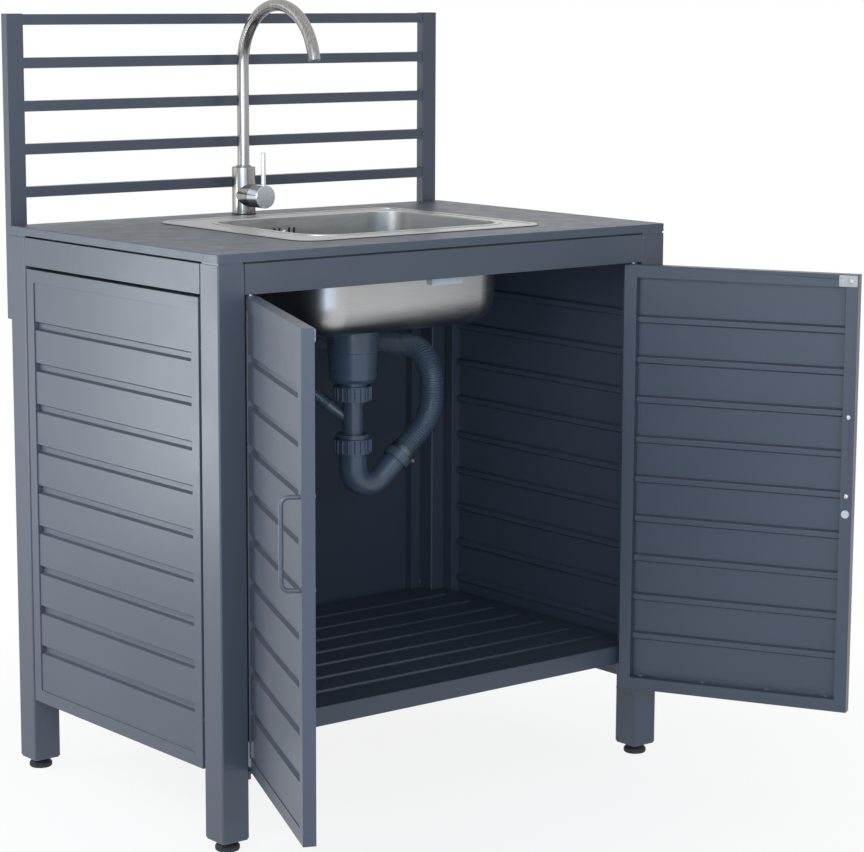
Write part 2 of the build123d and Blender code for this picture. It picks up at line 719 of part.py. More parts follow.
def left_door():
    """Pieces of the left door, shut."""
    frame, sheet = cassette(DOOR_W, DOOR_TOP - PANEL_BOTTOM, DOOR_T)
    place = Pos(DOOR_X, -OUT_Y, PANEL_BOTTOM)
    handle_z = DOOR_MID + HANDLE_RISE
    ends = (handle_z - HANDLE_SPAN / 2, handle_z + HANDLE_SPAN / 2)
    plate, plate_screw, plate_hole = strike_plate()
    holes = door_holes(ends) + [plate_hole]
    bumper_z = ends[0] - BUMPER_DROP
    bumper = rod((HANDLE_X, DOOR_INNER, bumper_z), (HANDLE_X, DOOR_INNER + BUMPER_T, bumper_z),
                 BUMPER_R)
    return {
        "frame": [(place * tube) - holes for tube in frame],
        "sheet": [place * sheet],
        "handle": [door_handle(ends)],
        "handle_screws": [handle_screw(z) for z in ends],
        "strike_plate": [plate, plate_screw],
        "hinge_bushes": [hinge_bush(PANEL_BOTTOM, 1), hinge_bush(DOOR_TOP, -1)],
        "bumper": [bumper],
    }


def door_handle(ends):
    """Bent wire handle on the outer face, with tapped ends."""
    x = HANDLE_X
    low, high = ends
    out = -OUT_Y - HANDLE_REACH + HANDLE_WIRE_R
    route = FilletPolyline((x, -OUT_Y, low), (x, out, low), (x, out, high), (x, -OUT_Y, high),
                           radius=HANDLE_BEND)
    section = Plane(origin=(x, -OUT_Y, low), z_dir=(0, -1, 0)) * Circle(HANDLE_WIRE_R)
    wire = sweep(section, path=route)
    for z in ends:
        wire -= rod((x, -OUT_Y, z), (x, -OUT_Y - SCREW_BITE, z), SCREW_R + PIN_GAP)
    return wire


def handle_screw(z):
    seat = (HANDLE_X, DOOR_INNER, z)
    head = rod(seat, (HANDLE_X, DOOR_INNER + SCREW_HEAD_T, z), SCREW_HEAD_R)
    return head + rod(seat, (HANDLE_X, -OUT_Y - SCREW_BITE, z), SCREW_R)


def hinge_bush(edge, inwards):
    """Flanged bush in the edge of the door; inwards is +1 at the bottom edge and -1 at the top."""
    face = edge - inwards * BUSH_FLANGE_T
    end = edge + inwards * BUSH_LENGTH
    bush = rod((-PIVOT_X, PIVOT_Y, face), (-PIVOT_X, PIVOT_Y, edge), BUSH_FLANGE_R)
    bush += rod((-PIVOT_X, PIVOT_Y, edge), (-PIVOT_X, PIVOT_Y, end), BUSH_R)
    return bush - rod((-PIVOT_X, PIVOT_Y, face), (-PIVOT_X, PIVOT_Y, end), PIN_R + BUSH_BORE_GAP)


def hinge_pins():
    """Lower pins standing on the brackets and upper pins hanging in the front apron."""
    pins = []
    for side in (-1, 1):
        x = side * PIVOT_X
        pins.append(rod((x, PIVOT_Y, BRACKET_TOP - BRACKET_T),
                        (x, PIVOT_Y, PANEL_BOTTOM + PIN_GRIP), PIN_R))
        seat = APRON_BOTTOM + TUBE_WALL
        pin = rod((x, PIVOT_Y, DOOR_TOP - PIN_GRIP), (x, PIVOT_Y, seat), PIN_R)
        pins.append(pin + rod((x, PIVOT_Y, seat), (x, PIVOT_Y, seat + PIN_COLLAR_T), PIN_COLLAR_R))
    return pins


def hinge_brackets():
    """Angle brackets on the inner faces of the front legs, under the doors."""
    near = -OUT_Y + BRACKET_FRONT_INSET
    brackets = []
    for side in (-1, 1):
        wall = side * IN_X
        tip = side * (IN_X - BRACKET_REACH)
        skin = side * (IN_X - BRACKET_T)
        shelf = block(min(wall, tip), max(wall, tip), near, near + BRACKET_D,
                      BRACKET_TOP - BRACKET_T, BRACKET_TOP)
        shelf += block(min(wall, skin), max(wall, skin), near, near + BRACKET_D,
                       BRACKET_TOP - BRACKET_DROP, BRACKET_TOP)
        brackets.append(shelf - rod((side * PIVOT_X, PIVOT_Y, BRACKET_TOP - BRACKET_T),
                                    (side * PIVOT_X, PIVOT_Y, BRACKET_TOP), PIN_R + PIN_GAP))
    return brackets


def magnetic_catch():
    """Housing under the apron with two magnets that face the strike plates."""
    wall = -OUT_Y + APRON_T
    front = DOOR_INNER + STRIKE_T + FACE_GAP + MAGNET_PROUD
    bottom = APRON_BOTTOM - CATCH_H
    housing = block(-CATCH_W / 2, CATCH_W / 2, front, front + CATCH_D, bottom, APRON_BOTTOM)
    flange = block(-CATCH_W / 2, CATCH_W / 2, wall, wall + CATCH_FLANGE_T,
                   APRON_BOTTOM, APRON_BOTTOM + CATCH_FLANGE_H)
    middle = bottom + CATCH_H / 2
    pieces = []
    for x in (-MAGNET_SPACING / 2, MAGNET_SPACING / 2):
        pole = front - MAGNET_PROUD
        magnet = block(x - MAGNET_W / 2, x + MAGNET_W / 2, pole, pole + MAGNET_D,
                       middle - MAGNET_H / 2, middle + MAGNET_H / 2)
        housing -= magnet
        pieces.append(magnet)
    return [housing + flange, *pieces]


# ---------------------------------------------------------------- sink
def tub(grow, bottom):
    """Solid of the bowl's shape, larger than the bowl by grow on every side."""
    solid = rounded_plate(BOWL_X, BOWL_Y, BOWL_W + 2 * grow, BOWL_D + 2 * grow, BOWL_CORNER + grow,
                          bottom, HEIGHT + RIM_H)
    return fillet(solid.edges().group_by(Axis.Z)[0], BOWL_FILLET + grow)


def rim_plate(inset, z0, z1):
    return rounded_plate(SINK_X, SINK_Y, SINK_W - 2 * inset, SINK_D - 2 * inset,
                         SINK_CORNER - inset, z0, z1)


def sink():
    """Pressed sink: beaded rim on the worktop and a bowl with an overflow and a drain hole."""
    top = HEIGHT + RIM_H
    shell_tub = tub(SINK_T, BOWL_UNDER)
    body = rim_plate(0, HEIGHT, top) + shell_tub - tub(0, BOWL_BOTTOM)
    body = fillet(body.edges().group_by(Axis.Z)[-1], RIM_ROUND)
    deck = rim_plate(OUTER_BEAD, HEIGHT + DECK_H, top)
    deck -= rounded_plate(BOWL_X, BOWL_Y, BOWL_W + 2 * INNER_BEAD, BOWL_D + 2 * INNER_BEAD,
                          BOWL_CORNER + INNER_BEAD, HEIGHT + DECK_H, top)
    body = body - deck - (rim_plate(RIM_LIP, HEIGHT, HEIGHT + DECK_H - SINK_T) - shell_tub)
    body -= rod((*DRAIN, BOWL_UNDER - OVERRUN), (*DRAIN, BOWL_BOTTOM + OVERRUN),
                THROAT_R + SINK_T + PIN_GAP)
    wall = BOWL_Y + BOWL_D / 2
    for place in SLOT_PLACES:
        x = OVERFLOW_X + place * SLOT_PITCH
        body -= block(x - SLOT_W / 2, x + SLOT_W / 2, wall - SINK_T, wall + 2 * SINK_T,
                      OVERFLOW_Z - SLOT_H / 2, OVERFLOW_Z + SLOT_H / 2)
    return body


def sink_clip(x, y, dx, dy):
    """Stud, foot and nut at the cut-out's edge x, y; dx, dy points away from the bowl."""
    rim_under = HEIGHT + DECK_H - SINK_T
    half = CLIP_W / 2
    stud = (x - dx * CLIP_STUD_INSET, y - dy * CLIP_STUD_INSET)
    inner = (stud[0] - dx * half, stud[1] - dy * half)
    outer = (x + dx * CLIP_GRIP, y + dy * CLIP_GRIP)
    side_x = half * abs(dy)
    side_y = half * abs(dx)
    foot = WORKTOP_BOTTOM - CLIP_T
    clip = rod((*stud, foot - CLIP_STUD_TAIL), (*stud, rim_under), CLIP_STUD_R)
    clip += block(min(inner[0], outer[0]) - side_x, max(inner[0], outer[0]) + side_x,
                  min(inner[1], outer[1]) - side_y, max(inner[1], outer[1]) + side_y,
                  foot, WORKTOP_BOTTOM)
    return clip + rod((*stud, foot - CLIP_T), (*stud, foot), CLIP_STUD_R + CLIP_T)


def sink_clips():
    """Clamps that hang from the rim and grip the edge of the worktop cut-out."""
    half_x = SINK_W / 2 - CUTOUT_LAP
    half_y = SINK_D / 2 - CUTOUT_LAP
    clips = []
    for side in (-1, 1):
        for end in (-1, 1):
            clips.append(sink_clip(SINK_X + side * half_x, SINK_Y + end * half_y / 2, side, 0))
        clips.append(sink_clip(SINK_X + side * half_x / 2, SINK_Y - half_y, 0, -1))
    return clips


def overflow_housing():
    """Plastic chamber behind the overflow slots, with a nozzle pointing down."""
    wall = BOWL_Y + BOWL_D / 2 + SINK_T
    left = OVERFLOW_X - HOUSING_W / 2
    right = OVERFLOW_X + HOUSING_W / 2
    low = OVERFLOW_Z - HOUSING_H / 2
    top = OVERFLOW_Z + HOUSING_H / 2
    shell = block(left, right, wall, wall + HOUSING_D, low, top)
    shell += block(left + HOUSING_LID_INSET, right - HOUSING_LID_INSET, wall,
                   wall + HOUSING_D + HOUSING_LID, low + HOUSING_LID_INSET / 2,
                   top - HOUSING_LID_INSET)
    nozzle_end = (*OVER_HOUSING_XY, low - HOUSING_NOZZLE)
    shell += rod(nozzle_end, (*OVER_HOUSING_XY, low), BARB_R)
    shell -= block(left + PLASTIC_WALL, right - PLASTIC_WALL, wall, wall + HOUSING_D - PLASTIC_WALL,
                   low + PLASTIC_WALL, top - PLASTIC_WALL)
    bore_top = (*OVER_HOUSING_XY, low + PLASTIC_WALL)
    return shell - rod(nozzle_end, bore_top, BARB_R - PLASTIC_WALL / 2)


# ---------------------------------------------------------------- waste and trap
def waste_flange():
    """Steel flange in the bowl with a throat that carries the basket on a lip."""
    top = BOWL_BOTTOM + FLANGE_T
    low = BOWL_BOTTOM - THROAT_DEPTH
    outer = THROAT_R + SINK_T
    profile = [(THROAT_R, low + SINK_T), (THROAT_R, top), (FLANGE_R, top - FLANGE_T / 2),
               (FLANGE_R, BOWL_BOTTOM), (outer, BOWL_BOTTOM), (outer, low),
               (THROAT_R - THROAT_LIP, low), (THROAT_R - THROAT_LIP, low + SINK_T)]
    return turned(profile, *DRAIN)


def waste_body():
    """Stepped plastic cup under the bowl with a spigot for the tailpiece."""
    band = BOWL_UNDER - WASTE_RIM_H
    cone = band - WASTE_BAND_H
    low = WASTE_BOTTOM
    floor = low + PLASTIC_WALL
    spigot = UPPER_NUT_TOP - NUT_H + NUT_LIP + FACE_GAP
    bore = TAIL_R + FACE_GAP
    throat = THROAT_R + SINK_T + FACE_GAP
    throat_end = BOWL_BOTTOM - THROAT_DEPTH - PLASTIC_WALL
    foot = WASTE_FOOT_R - PLASTIC_WALL
    outside = [(WASTE_R, BOWL_UNDER), (WASTE_R, band), (WASTE_BAND_R, band), (WASTE_BAND_R, cone),
               (WASTE_BAND_R - WASTE_STEP, cone - WASTE_STEP),
               (WASTE_FOOT_R + WASTE_STEP, low + WASTE_FOOT_H),
               (WASTE_FOOT_R - WASTE_FOOT_SLOPE, low), (SPIGOT_R, low), (SPIGOT_R, spigot)]
    inside = [(bore, spigot), (bore, floor), (foot - WASTE_FOOT_SLOPE, floor),
              (foot, floor + WASTE_FOOT_H),
              (throat - WASTE_THROAT_TAPER, cone - PLASTIC_WALL - WASTE_FOOT_H),
              (throat, throat_end), (throat, BOWL_UNDER)]
    return turned(outside + inside, *DRAIN)


def slip_nut(top, bore, lip_bore, lip_at_top):
    """Ribbed plastic nut round an upright pipe, with a lip that closes on the smaller pipe."""
    low = top - NUT_H
    lip_z = top - NUT_LIP if lip_at_top else low + NUT_LIP
    lip_end = top if lip_at_top else low
    open_end = low if lip_at_top else top
    profile = [(lip_bore, lip_end), (NUT_R, lip_end), (NUT_R, open_end), (bore, open_end),
               (bore, lip_z), (lip_bore, lip_z)]
    nut = turned(profile, *DRAIN)
    for rib in range(NUT_RIBS):
        angle = radians(360 * rib / NUT_RIBS)
        x = DRAIN[0] + NUT_R * cos(angle)
        y = DRAIN[1] + NUT_R * sin(angle)
        nut += rod((x, y, low + NUT_RIB_INSET), (x, y, top - NUT_RIB_INSET), NUT_RIB_R)
    return nut


def hose_collar():
    """Collar that joins the trap's arm to the hose."""
    end = ARM_END - ARM_DIRECTION * (COLLAR_LENGTH / 2)
    tip = ARM_END + ARM_DIRECTION * (COLLAR_LENGTH / 2)
    collar = rod(tuple(end), tuple(tip), COLLAR_R)
    return collar - rod(tuple(end), tuple(tip), HOSE_R + FACE_GAP)


def slip_nuts():
    upper = slip_nut(UPPER_NUT_TOP, SPIGOT_R + FACE_GAP, TAIL_R + FACE_GAP, False)
    lower = slip_nut(LOWER_NUT_TOP, TRAP_IN_R + FACE_GAP, TAIL_R + FACE_GAP, True)
    return [upper, lower, hose_collar()]


def tailpiece():
    """Pipe between the waste and the trap, with a collar and a branch for the overflow."""
    pipe_top = WASTE_BOTTOM - TAIL_WALL
    outer = rod((*DRAIN, TAIL_END), (*DRAIN, pipe_top), TAIL_R)
    outer += rod((*DRAIN, LOWER_NUT_TOP + FACE_GAP),
                 (*DRAIN, LOWER_NUT_TOP + FACE_GAP + TAIL_COLLAR_H), TAIL_COLLAR_R)
    outer += rod(tuple(BRANCH_ROOT), tuple(BRANCH_MOUTH), BRANCH_R)
    outer += rod(tuple(BRANCH_MOUTH), tuple(BRANCH_MOUTH + BRANCH_DIRECTION * BARB_LENGTH), BARB_R)
    outer -= rod((*DRAIN, TAIL_END), (*DRAIN, pipe_top), TAIL_R - TAIL_WALL)
    tip = BRANCH_MOUTH + BRANCH_DIRECTION * BARB_LENGTH
    return outer - rod(tuple(BRANCH_ROOT), tuple(tip), BARB_R - PLASTIC_WALL / 2)


def trap_stations(shrink):
    """Stations from the trap's inlet round the bend to the end of its arm."""
    heading = TRAP_PLAN
    inlet = TRAP_IN_R - shrink
    outlet = TRAP_OUT_R - shrink
    down = (0, 0, -1)
    stations = [((*DRAIN, LOWER_NUT_TOP - NUT_LIP - FACE_GAP), down, inlet)]
    for step in range(TRAP_STEPS + 1):
        share = step / TRAP_STEPS
        angle = radians(TRAP_TURN * share)
        reach = TRAP_BEND_R * (1 - cos(angle))
        z = TRAP_BEND_Z - TRAP_BEND_R * sin(angle)
        point = (DRAIN[0] + heading.X * reach, DRAIN[1] + heading.Y * reach, z)
        direction = (heading.X * sin(angle), heading.Y * sin(angle), -cos(angle))
        stations.append((point, direction, inlet + (outlet - inlet) * share))
    stations.append((tuple(ARM_END), tuple(ARM_DIRECTION), outlet))
    return stations


def trap_bend():
    """U-shaped trap, narrowing from its inlet to an arm that rises to the hose."""
    steady = (-TRAP_PLAN.Y, TRAP_PLAN.X, 0)
    return lofted_tube(trap_stations(0), steady) - lofted_tube(trap_stations(PLASTIC_WALL), steady)


def waste_hose():
    """Ribbed hose from the trap's arm, up and over to the outlet in the back panel."""
    low_corner = (HOSE_RISER[0], HOSE_RISER[1], ARM_END.Z + (ARM_DIRECTION.Z / ARM_LEVEL)
                  * (HOSE_RISER_REACH - ARM_REACH))
    route = FilletPolyline(tuple(ARM_END), low_corner, (*HOSE_RISER, HOSE_TOP),
                           (HOSE_RISER[0], OUTLET_FACE, HOSE_TOP),
                           radius=[HOSE_LOWER_BEND, HOSE_UPPER_BEND])
    return ribbed_hose(route, HOSE_R, HOSE_VALLEY_R, HOSE_BORE_R, HOSE_PITCH, HOSE_CUFF, (1, 0, 0))


def outlet_fitting():
    """Flanged spigot through the back panel; the hose pushes on to its nozzle."""
    def level(start, end, radius):
        return rod((HOSE_RISER[0], start, HOSE_TOP), (HOSE_RISER[0], end, HOSE_TOP), radius)

    nozzle = OUTLET_FACE - OUTLET_NOZZLE
    end = OUT_Y + OUTLET_SPIGOT
    fitting = level(OUTLET_FACE, OUTLET_FACE + OUTLET_FLANGE_T, OUTLET_FLANGE_R)
    fitting += level(nozzle, OUTLET_FACE, HOSE_BORE_R - PIN_GAP)
    fitting += level(OUTLET_FACE, OUT_Y - SHEET_RECESS, OUTLET_SHANK_R)
    fitting += level(OUTLET_FACE, end, HOSE_R)
    return fitting - level(nozzle, end, HOSE_BORE_R - PLASTIC_WALL)


def overflow_hose():
    """Thin ribbed hose from the overflow chamber down to the branch of the tailpiece."""
    low_corner = BRANCH_MOUTH + BRANCH_DIRECTION * OVER_LOW_RUN
    nozzle = OVERFLOW_Z - HOUSING_H / 2
    route = FilletPolyline(tuple(BRANCH_MOUTH), tuple(low_corner), (*OVER_HOUSING_XY, OVER_CORNER_Z),
                           (*OVER_HOUSING_XY, nozzle), radius=[OVER_BEND_LOW, OVER_BEND_HIGH])
    return ribbed_hose(route, OVER_HOSE_R, OVER_VALLEY_R, OVER_BORE_R, OVER_PITCH, OVER_CUFF,
                       (1, -1, 0))


def strainer_basket():
    """Perforated cup that hangs in the throat, with a knob to lift it out."""
    rim = BOWL_BOTTOM - THROAT_DEPTH + SINK_T + FACE_GAP
    low = rim - BASKET_DEPTH
    profile = [(0, low), (BASKET_FOOT_R, low), (BASKET_R, rim), (BASKET_RIM_R, rim),
               (BASKET_RIM_R, rim + BASKET_T), (BASKET_R - BASKET_T, rim + BASKET_T),
               (BASKET_FOOT_R - BASKET_T, low + BASKET_T), (0, low + BASKET_T)]
    cup = turned(profile, *DRAIN)
    for hole in range(BASKET_HOLES):
        angle = radians(360 * hole / BASKET_HOLES)
        x = DRAIN[0] + BASKET_HOLE_RING * cos(angle)
        y = DRAIN[1] + BASKET_HOLE_RING * sin(angle)
        cup -= rod((x, y, low - OVERRUN), (x, y, low + BASKET_T + OVERRUN), BASKET_HOLE_R)
    cup += rod((*DRAIN, low), (*DRAIN, low + BASKET_POST_H), BASKET_POST_R)
    return cup + rod((*DRAIN, low + BASKET_POST_H),
                     (*DRAIN, low + BASKET_POST_H + BASKET_KNOB_H), BASKET_KNOB_R)


# ---------------------------------------------------------------- tap
def tap_body():
    """Upright body with a side stub for the lever, a socket for the spout and a threaded shank."""
    top = HEIGHT + TAP_BODY_H
    axis = (TAP_X, TAP_Y)
    body = rod((*axis, HEIGHT), (*axis, top), TAP_R)
    body = chamfer(body.edges().group_by(Axis.Z)[-1], TAP_CHAMFER)
    body += rod((TAP_X, TAP_Y, HUB_Z), (TAP_X, STUB_FACE, HUB_Z), STUB_R)
    body -= rod((TAP_X, STUB_FACE, HUB_Z), (TAP_X, STUB_FACE + CHAMBER_D, HUB_Z), CHAMBER_R)
    body -= rod((*axis, top - SPOUT_SEAT), (*axis, top), SPOUT_R + PIN_GAP)
    body += rod((*axis, HEIGHT - SHANK_LENGTH), (*axis, HEIGHT), SHANK_R)
    shank_end = HEIGHT - SHANK_LENGTH
    for x in (TAP_X - INLET_SPACING / 2, TAP_X + INLET_SPACING / 2):
        body -= rod((x, TAP_Y, shank_end), (x, TAP_Y, shank_end + INLET_DEPTH), INLET_R)
    return body


def tap_backnut():
    """Washer and hexagonal nut that clamp the tap to the worktop."""
    bore = rod((TAP_X, TAP_Y, WORKTOP_BOTTOM - BACKNUT_H - WASHER_T), (TAP_X, TAP_Y, WORKTOP_BOTTOM),
               SHANK_R + PIN_GAP)
    washer = rod((TAP_X, TAP_Y, WORKTOP_BOTTOM - WASHER_T), (TAP_X, TAP_Y, WORKTOP_BOTTOM), WASHER_R)
    low = WORKTOP_BOTTOM - WASHER_T - BACKNUT_H
    hexagon = RegularPolygon(NUT_FLATS / 2, 6, major_radius=False, rotation=30)
    nut = extrude(Pos(TAP_X, TAP_Y, low) * hexagon, BACKNUT_H)
    return [washer - bore, nut - bore]


def cartridge_stem():
    """Turning disc and stem of the mixing cartridge."""
    start = STUB_FACE + CHAMBER_D - FACE_GAP
    disc = rod((TAP_X, start, HUB_Z), (TAP_X, start - CARTRIDGE_T, HUB_Z), CHAMBER_R - PIN_GAP)
    return disc + rod((TAP_X, start - CARTRIDGE_T, HUB_Z), (TAP_X, STUB_FACE - STEM_REACH, HUB_Z),
                      STEM_R)


def tap_lever():
    """Lever hub over the cartridge stem, and the pin that is gripped."""
    rear = STUB_FACE - FACE_GAP
    end = rear - HUB_LENGTH
    hub = rod((TAP_X, rear, HUB_Z), (TAP_X, end, HUB_Z), STUB_R)
    hub = chamfer(hub.edges().group_by(Axis.Y)[0], TAP_CHAMFER)
    hub -= rod((TAP_X, rear, HUB_Z), (TAP_X, rear - HUB_CAVITY_D, HUB_Z), HUB_CAVITY_R)
    pin_y = end + LEVER_SETBACK
    seat = HUB_Z + STUB_R - LEVER_SINK
    hub -= rod((TAP_X, pin_y, seat), (TAP_X, pin_y, HUB_Z + STUB_R + OVERRUN), LEVER_R + PIN_GAP)
    pin = rod((TAP_X, pin_y, seat), (TAP_X, pin_y, HEIGHT + LEVER_TOP), LEVER_R)
    pin = chamfer(pin.edges().group_by(Axis.Z)[-1], TAP_CHAMFER)
    return [hub, pin]


def spout_route():
    """Centre line of the spout: riser, arch and short drop."""
    foot = HEIGHT + TAP_BODY_H - SPOUT_SEAT + FACE_GAP
    shoulder = HEIGHT + SPOUT_SHOULDER
    centre = TAP_Y - SPOUT_ARCH_R

    def on_arch(angle):
        return (TAP_X, centre + SPOUT_ARCH_R * cos(radians(angle)),
                shoulder + SPOUT_ARCH_R * sin(radians(angle)))

    end = on_arch(SPOUT_TURN)
    drop = (0, -sin(radians(SPOUT_TURN)), cos(radians(SPOUT_TURN)))
    tip = (TAP_X, end[1] + drop[1] * SPOUT_TIP, end[2] + drop[2] * SPOUT_TIP)
    riser = Line((TAP_X, TAP_Y, foot), (TAP_X, TAP_Y, shoulder))
    arch = ThreePointArc((TAP_X, TAP_Y, shoulder), on_arch(SPOUT_TURN / 2), end)
    return riser + arch + Line(end, tip), tip, drop


def tap_spout():
    route = spout_route()[0]
    foot = (TAP_X, TAP_Y, HEIGHT + TAP_BODY_H - SPOUT_SEAT + FACE_GAP)
    section = Plane(origin=foot, z_dir=(0, 0, 1))
    tube = sweep(section * Circle(SPOUT_R), path=route)
    return tube - sweep(section * Circle(SPOUT_R - SPOUT_WALL), path=route)


def aerator():
    """Round jet former in the mouth of the spout."""
    _, tip, drop = spout_route()
    mouth = Vector(*tip)
    down = Vector(*drop)
    start = tuple(mouth - down * (AERATOR_LENGTH - AERATOR_PROUD))
    end = tuple(mouth + down * AERATOR_PROUD)
    return rod(start, end, AERATOR_R) - rod(start, end, AERATOR_BORE_R)


# ---------------------------------------------------------------- upstand
def upstand_posts():
    """Two capped posts bolted to the backs of the rear legs."""
    posts = []
    for side in (-1, 1):
        left = side * POST_X - POST_W / 2
        right = side * POST_X + POST_W / 2
        post = block(left, right, OUT_Y, OUT_Y + POST_D, POST_BOTTOM, POST_TOP)
        post -= block(left + TUBE_WALL, right - TUBE_WALL, OUT_Y + TUBE_WALL,
                      OUT_Y + POST_D - TUBE_WALL, POST_BOTTOM + TUBE_WALL, POST_TOP - TUBE_WALL)
        for z in BOLT_ZS:
            post -= rod((side * POST_X, OUT_Y - OVERRUN, z),
                        (side * POST_X, OUT_Y + POST_D + OVERRUN, z), BOLT_R + PIN_GAP)
        posts.append(post)
    return posts


def upstand_bars():
    """Level bars between the posts."""
    reach = POST_X - POST_W / 2
    near = OUT_Y + (POST_D - BAR_D) / 2
    bars = []
    for place in range(BAR_COUNT):
        top = POST_TOP - BAR_TOP_INSET - place * BAR_PITCH
        bars.append(open_tube(-reach, reach, near, near + BAR_D, top - BAR_H, top, TUBE_WALL, "x"))
    return bars


def upstand_bolts():
    bolts = []
    for side in (-1, 1):
        x = side * POST_X
        for z in BOLT_ZS:
            back = OUT_Y + POST_D
            head = rod((x, back, z), (x, back + BOLT_HEAD_T, z), BOLT_HEAD_R)
            bolts.append(head + rod((x, back, z), (x, OUT_Y - BOLT_BITE, z), BOLT_R))
    return bolts


# ---------------------------------------------------------------- shared lines and points
POST_X = OUT_X - POST_INSET - POST_W / 2
HUB_Z = HEIGHT + STUB_Z
STUB_FACE = TAP_Y - STUB_REACH
TRAP_PLAN = Vector(cos(radians(TRAP_HEADING)), sin(radians(TRAP_HEADING)), 0)
ARM_RISE = radians(TRAP_TURN - 90)
ARM_LEVEL = cos(ARM_RISE)
ARM_DIRECTION = TRAP_PLAN * ARM_LEVEL + Vector(0, 0, sin(ARM_RISE))
BEND_REACH = TRAP_BEND_R * (1 + sin(ARM_RISE))
BEND_END = (Vector(*DRAIN, TRAP_BEND_Z - TRAP_BEND_R * cos(ARM_RISE)) + TRAP_PLAN * BEND_REACH)
ARM_END = BEND_END + ARM_DIRECTION * TRAP_ARM
ARM_REACH = BEND_REACH + ARM_LEVEL * TRAP_ARM
HOSE_RISER = (DRAIN[0] + TRAP_PLAN.X * HOSE_RISER_REACH, DRAIN[1] + TRAP_PLAN.Y * HOSE_RISER_REACH)
OUTLET_FACE = OUT_Y - SHEET_RECESS - SHEET_T - OUTLET_FLANGE_T
BRANCH_LEVEL = cos(radians(BRANCH_RISE))
BRANCH_DIRECTION = Vector(cos(radians(BRANCH_HEADING)) * BRANCH_LEVEL,
                          sin(radians(BRANCH_HEADING)) * BRANCH_LEVEL, sin(radians(BRANCH_RISE)))
BRANCH_ROOT = Vector(*DRAIN, BRANCH_Z)
BRANCH_MOUTH = BRANCH_ROOT + BRANCH_DIRECTION * BRANCH_LENGTH
OVER_HOUSING_XY = (OVERFLOW_X, BOWL_Y + BOWL_D / 2 + SINK_T + HOUSING_D / 2)


# ---------------------------------------------------------------- assembly
def cabinet_nodes():
    left_frame, left_sheet = side_panel(-1)
    right_frame, right_sheet = side_panel(1)
    back_frame, back_sheet = back_panel()
    places = side_fixings(-1) + side_fixings(1) + back_fixings()
    return {
        "front_left_leg": [leg(-1, -1)],
        "front_right_leg": [leg(1, -1)],
        "rear_left_leg": [leg(-1, 1)],
        "rear_right_leg": [leg(1, 1)],
        "leg_end_plugs": leg_end_plugs(),
        "front_apron": [front_apron()],
        "rear_apron": [rear_apron()],
        "side_aprons": side_aprons(),
        "left_panel_frame": left_frame,
        "left_panel_sheet": [left_sheet],
        "right_panel_frame": right_frame,
        "right_panel_sheet": [right_sheet],
        "back_panel_frame": back_frame,
        "back_panel_sheet": [back_sheet],
        "panel_fixings": [fixing_bolt(place) for place in places],
        "floor_rails": floor_rails(),
        "floor_sheet": [floor_sheet()],
        "worktop": [worktop()],
        "worktop_screws": worktop_screws(),
        "upstand_posts": upstand_posts(),
        "upstand_bars": upstand_bars(),
        "upstand_bolts": upstand_bolts(),
        "hinge_pins": hinge_pins(),
        "hinge_brackets": hinge_brackets(),
        "magnetic_catch": magnetic_catch(),
    }


def water_nodes():
    return {
        "sink": [sink()],
        "sink_clips": sink_clips(),
        "overflow_housing": [overflow_housing()],
        "waste_flange": [waste_flange()],
        "waste_body": [waste_body()],
        "slip_nuts": slip_nuts(),
        "tailpiece": [tailpiece()],
        "trap_bend": [trap_bend()],
        "waste_hose": [waste_hose()],
        "outlet_fitting": [outlet_fitting()],
        "overflow_hose": [overflow_hose()],
        "strainer_basket": [strainer_basket()],
        "tap_body": [tap_body()],
        "tap_backnut": tap_backnut(),
        "cartridge_stem": [cartridge_stem()],
        "tap_lever": tap_lever(),
        "tap_spout": [tap_spout()],
        "aerator": [aerator()],
    }


def foot_nodes():
    feet = {}
    for y_name, y_side in (("front", -1), ("rear", 1)):
        for x_name, x_side in (("left", -1), ("right", 1)):
            feet[f"{y_name}_{x_name}_foot"] = [levelling_foot(x_side, y_side)]
    return feet


def door_nodes():
    """Both doors, turned open about their pins."""
    left_pin = Axis((-PIVOT_X, PIVOT_Y, 0), (0, 0, -1))
    right_pin = Axis((PIVOT_X, PIVOT_Y, 0), (0, 0, 1))
    nodes = {}
    for piece, solids in left_door().items():
        right = [mirror(solid, about=Plane.YZ).rotate(right_pin, RIGHT_OPEN) for solid in solids]
        nodes[f"right_door_{piece}"] = right
        if piece != "bumper":
            nodes[f"left_door_{piece}"] = [solid.rotate(left_pin, LEFT_OPEN) for solid in solids]
    return nodes


def write_parts():
    nodes = {**cabinet_nodes(), **foot_nodes(), **water_nodes(), **door_nodes()}
    bodies = {name: Compound([s for shape in shapes for s in shape.solids()])
              for name, shapes in nodes.items()}
    boxes = [body.bounding_box() for body in bodies.values()]
    low = [min(tuple(box.min)[axis] for box in boxes) for axis in range(3)]
    high = [max(tuple(box.max)[axis] for box in boxes) for axis in range(3)]
    to_origin = Pos(-(low[0] + high[0]) / 2, -(low[1] + high[1]) / 2, -low[2])
    print("moved by", tuple(to_origin.position))
    os.makedirs("parts", exist_ok=True)
    for name, body in bodies.items():
        export_step(to_origin * body, f"parts/{name}.step")
    print(len(bodies), "nodes")
    return to_origin.position


SHIFT = write_parts()
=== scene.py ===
import json
from math import cos, pi, radians, sin

import bpy
from mathutils import Matrix, Vector


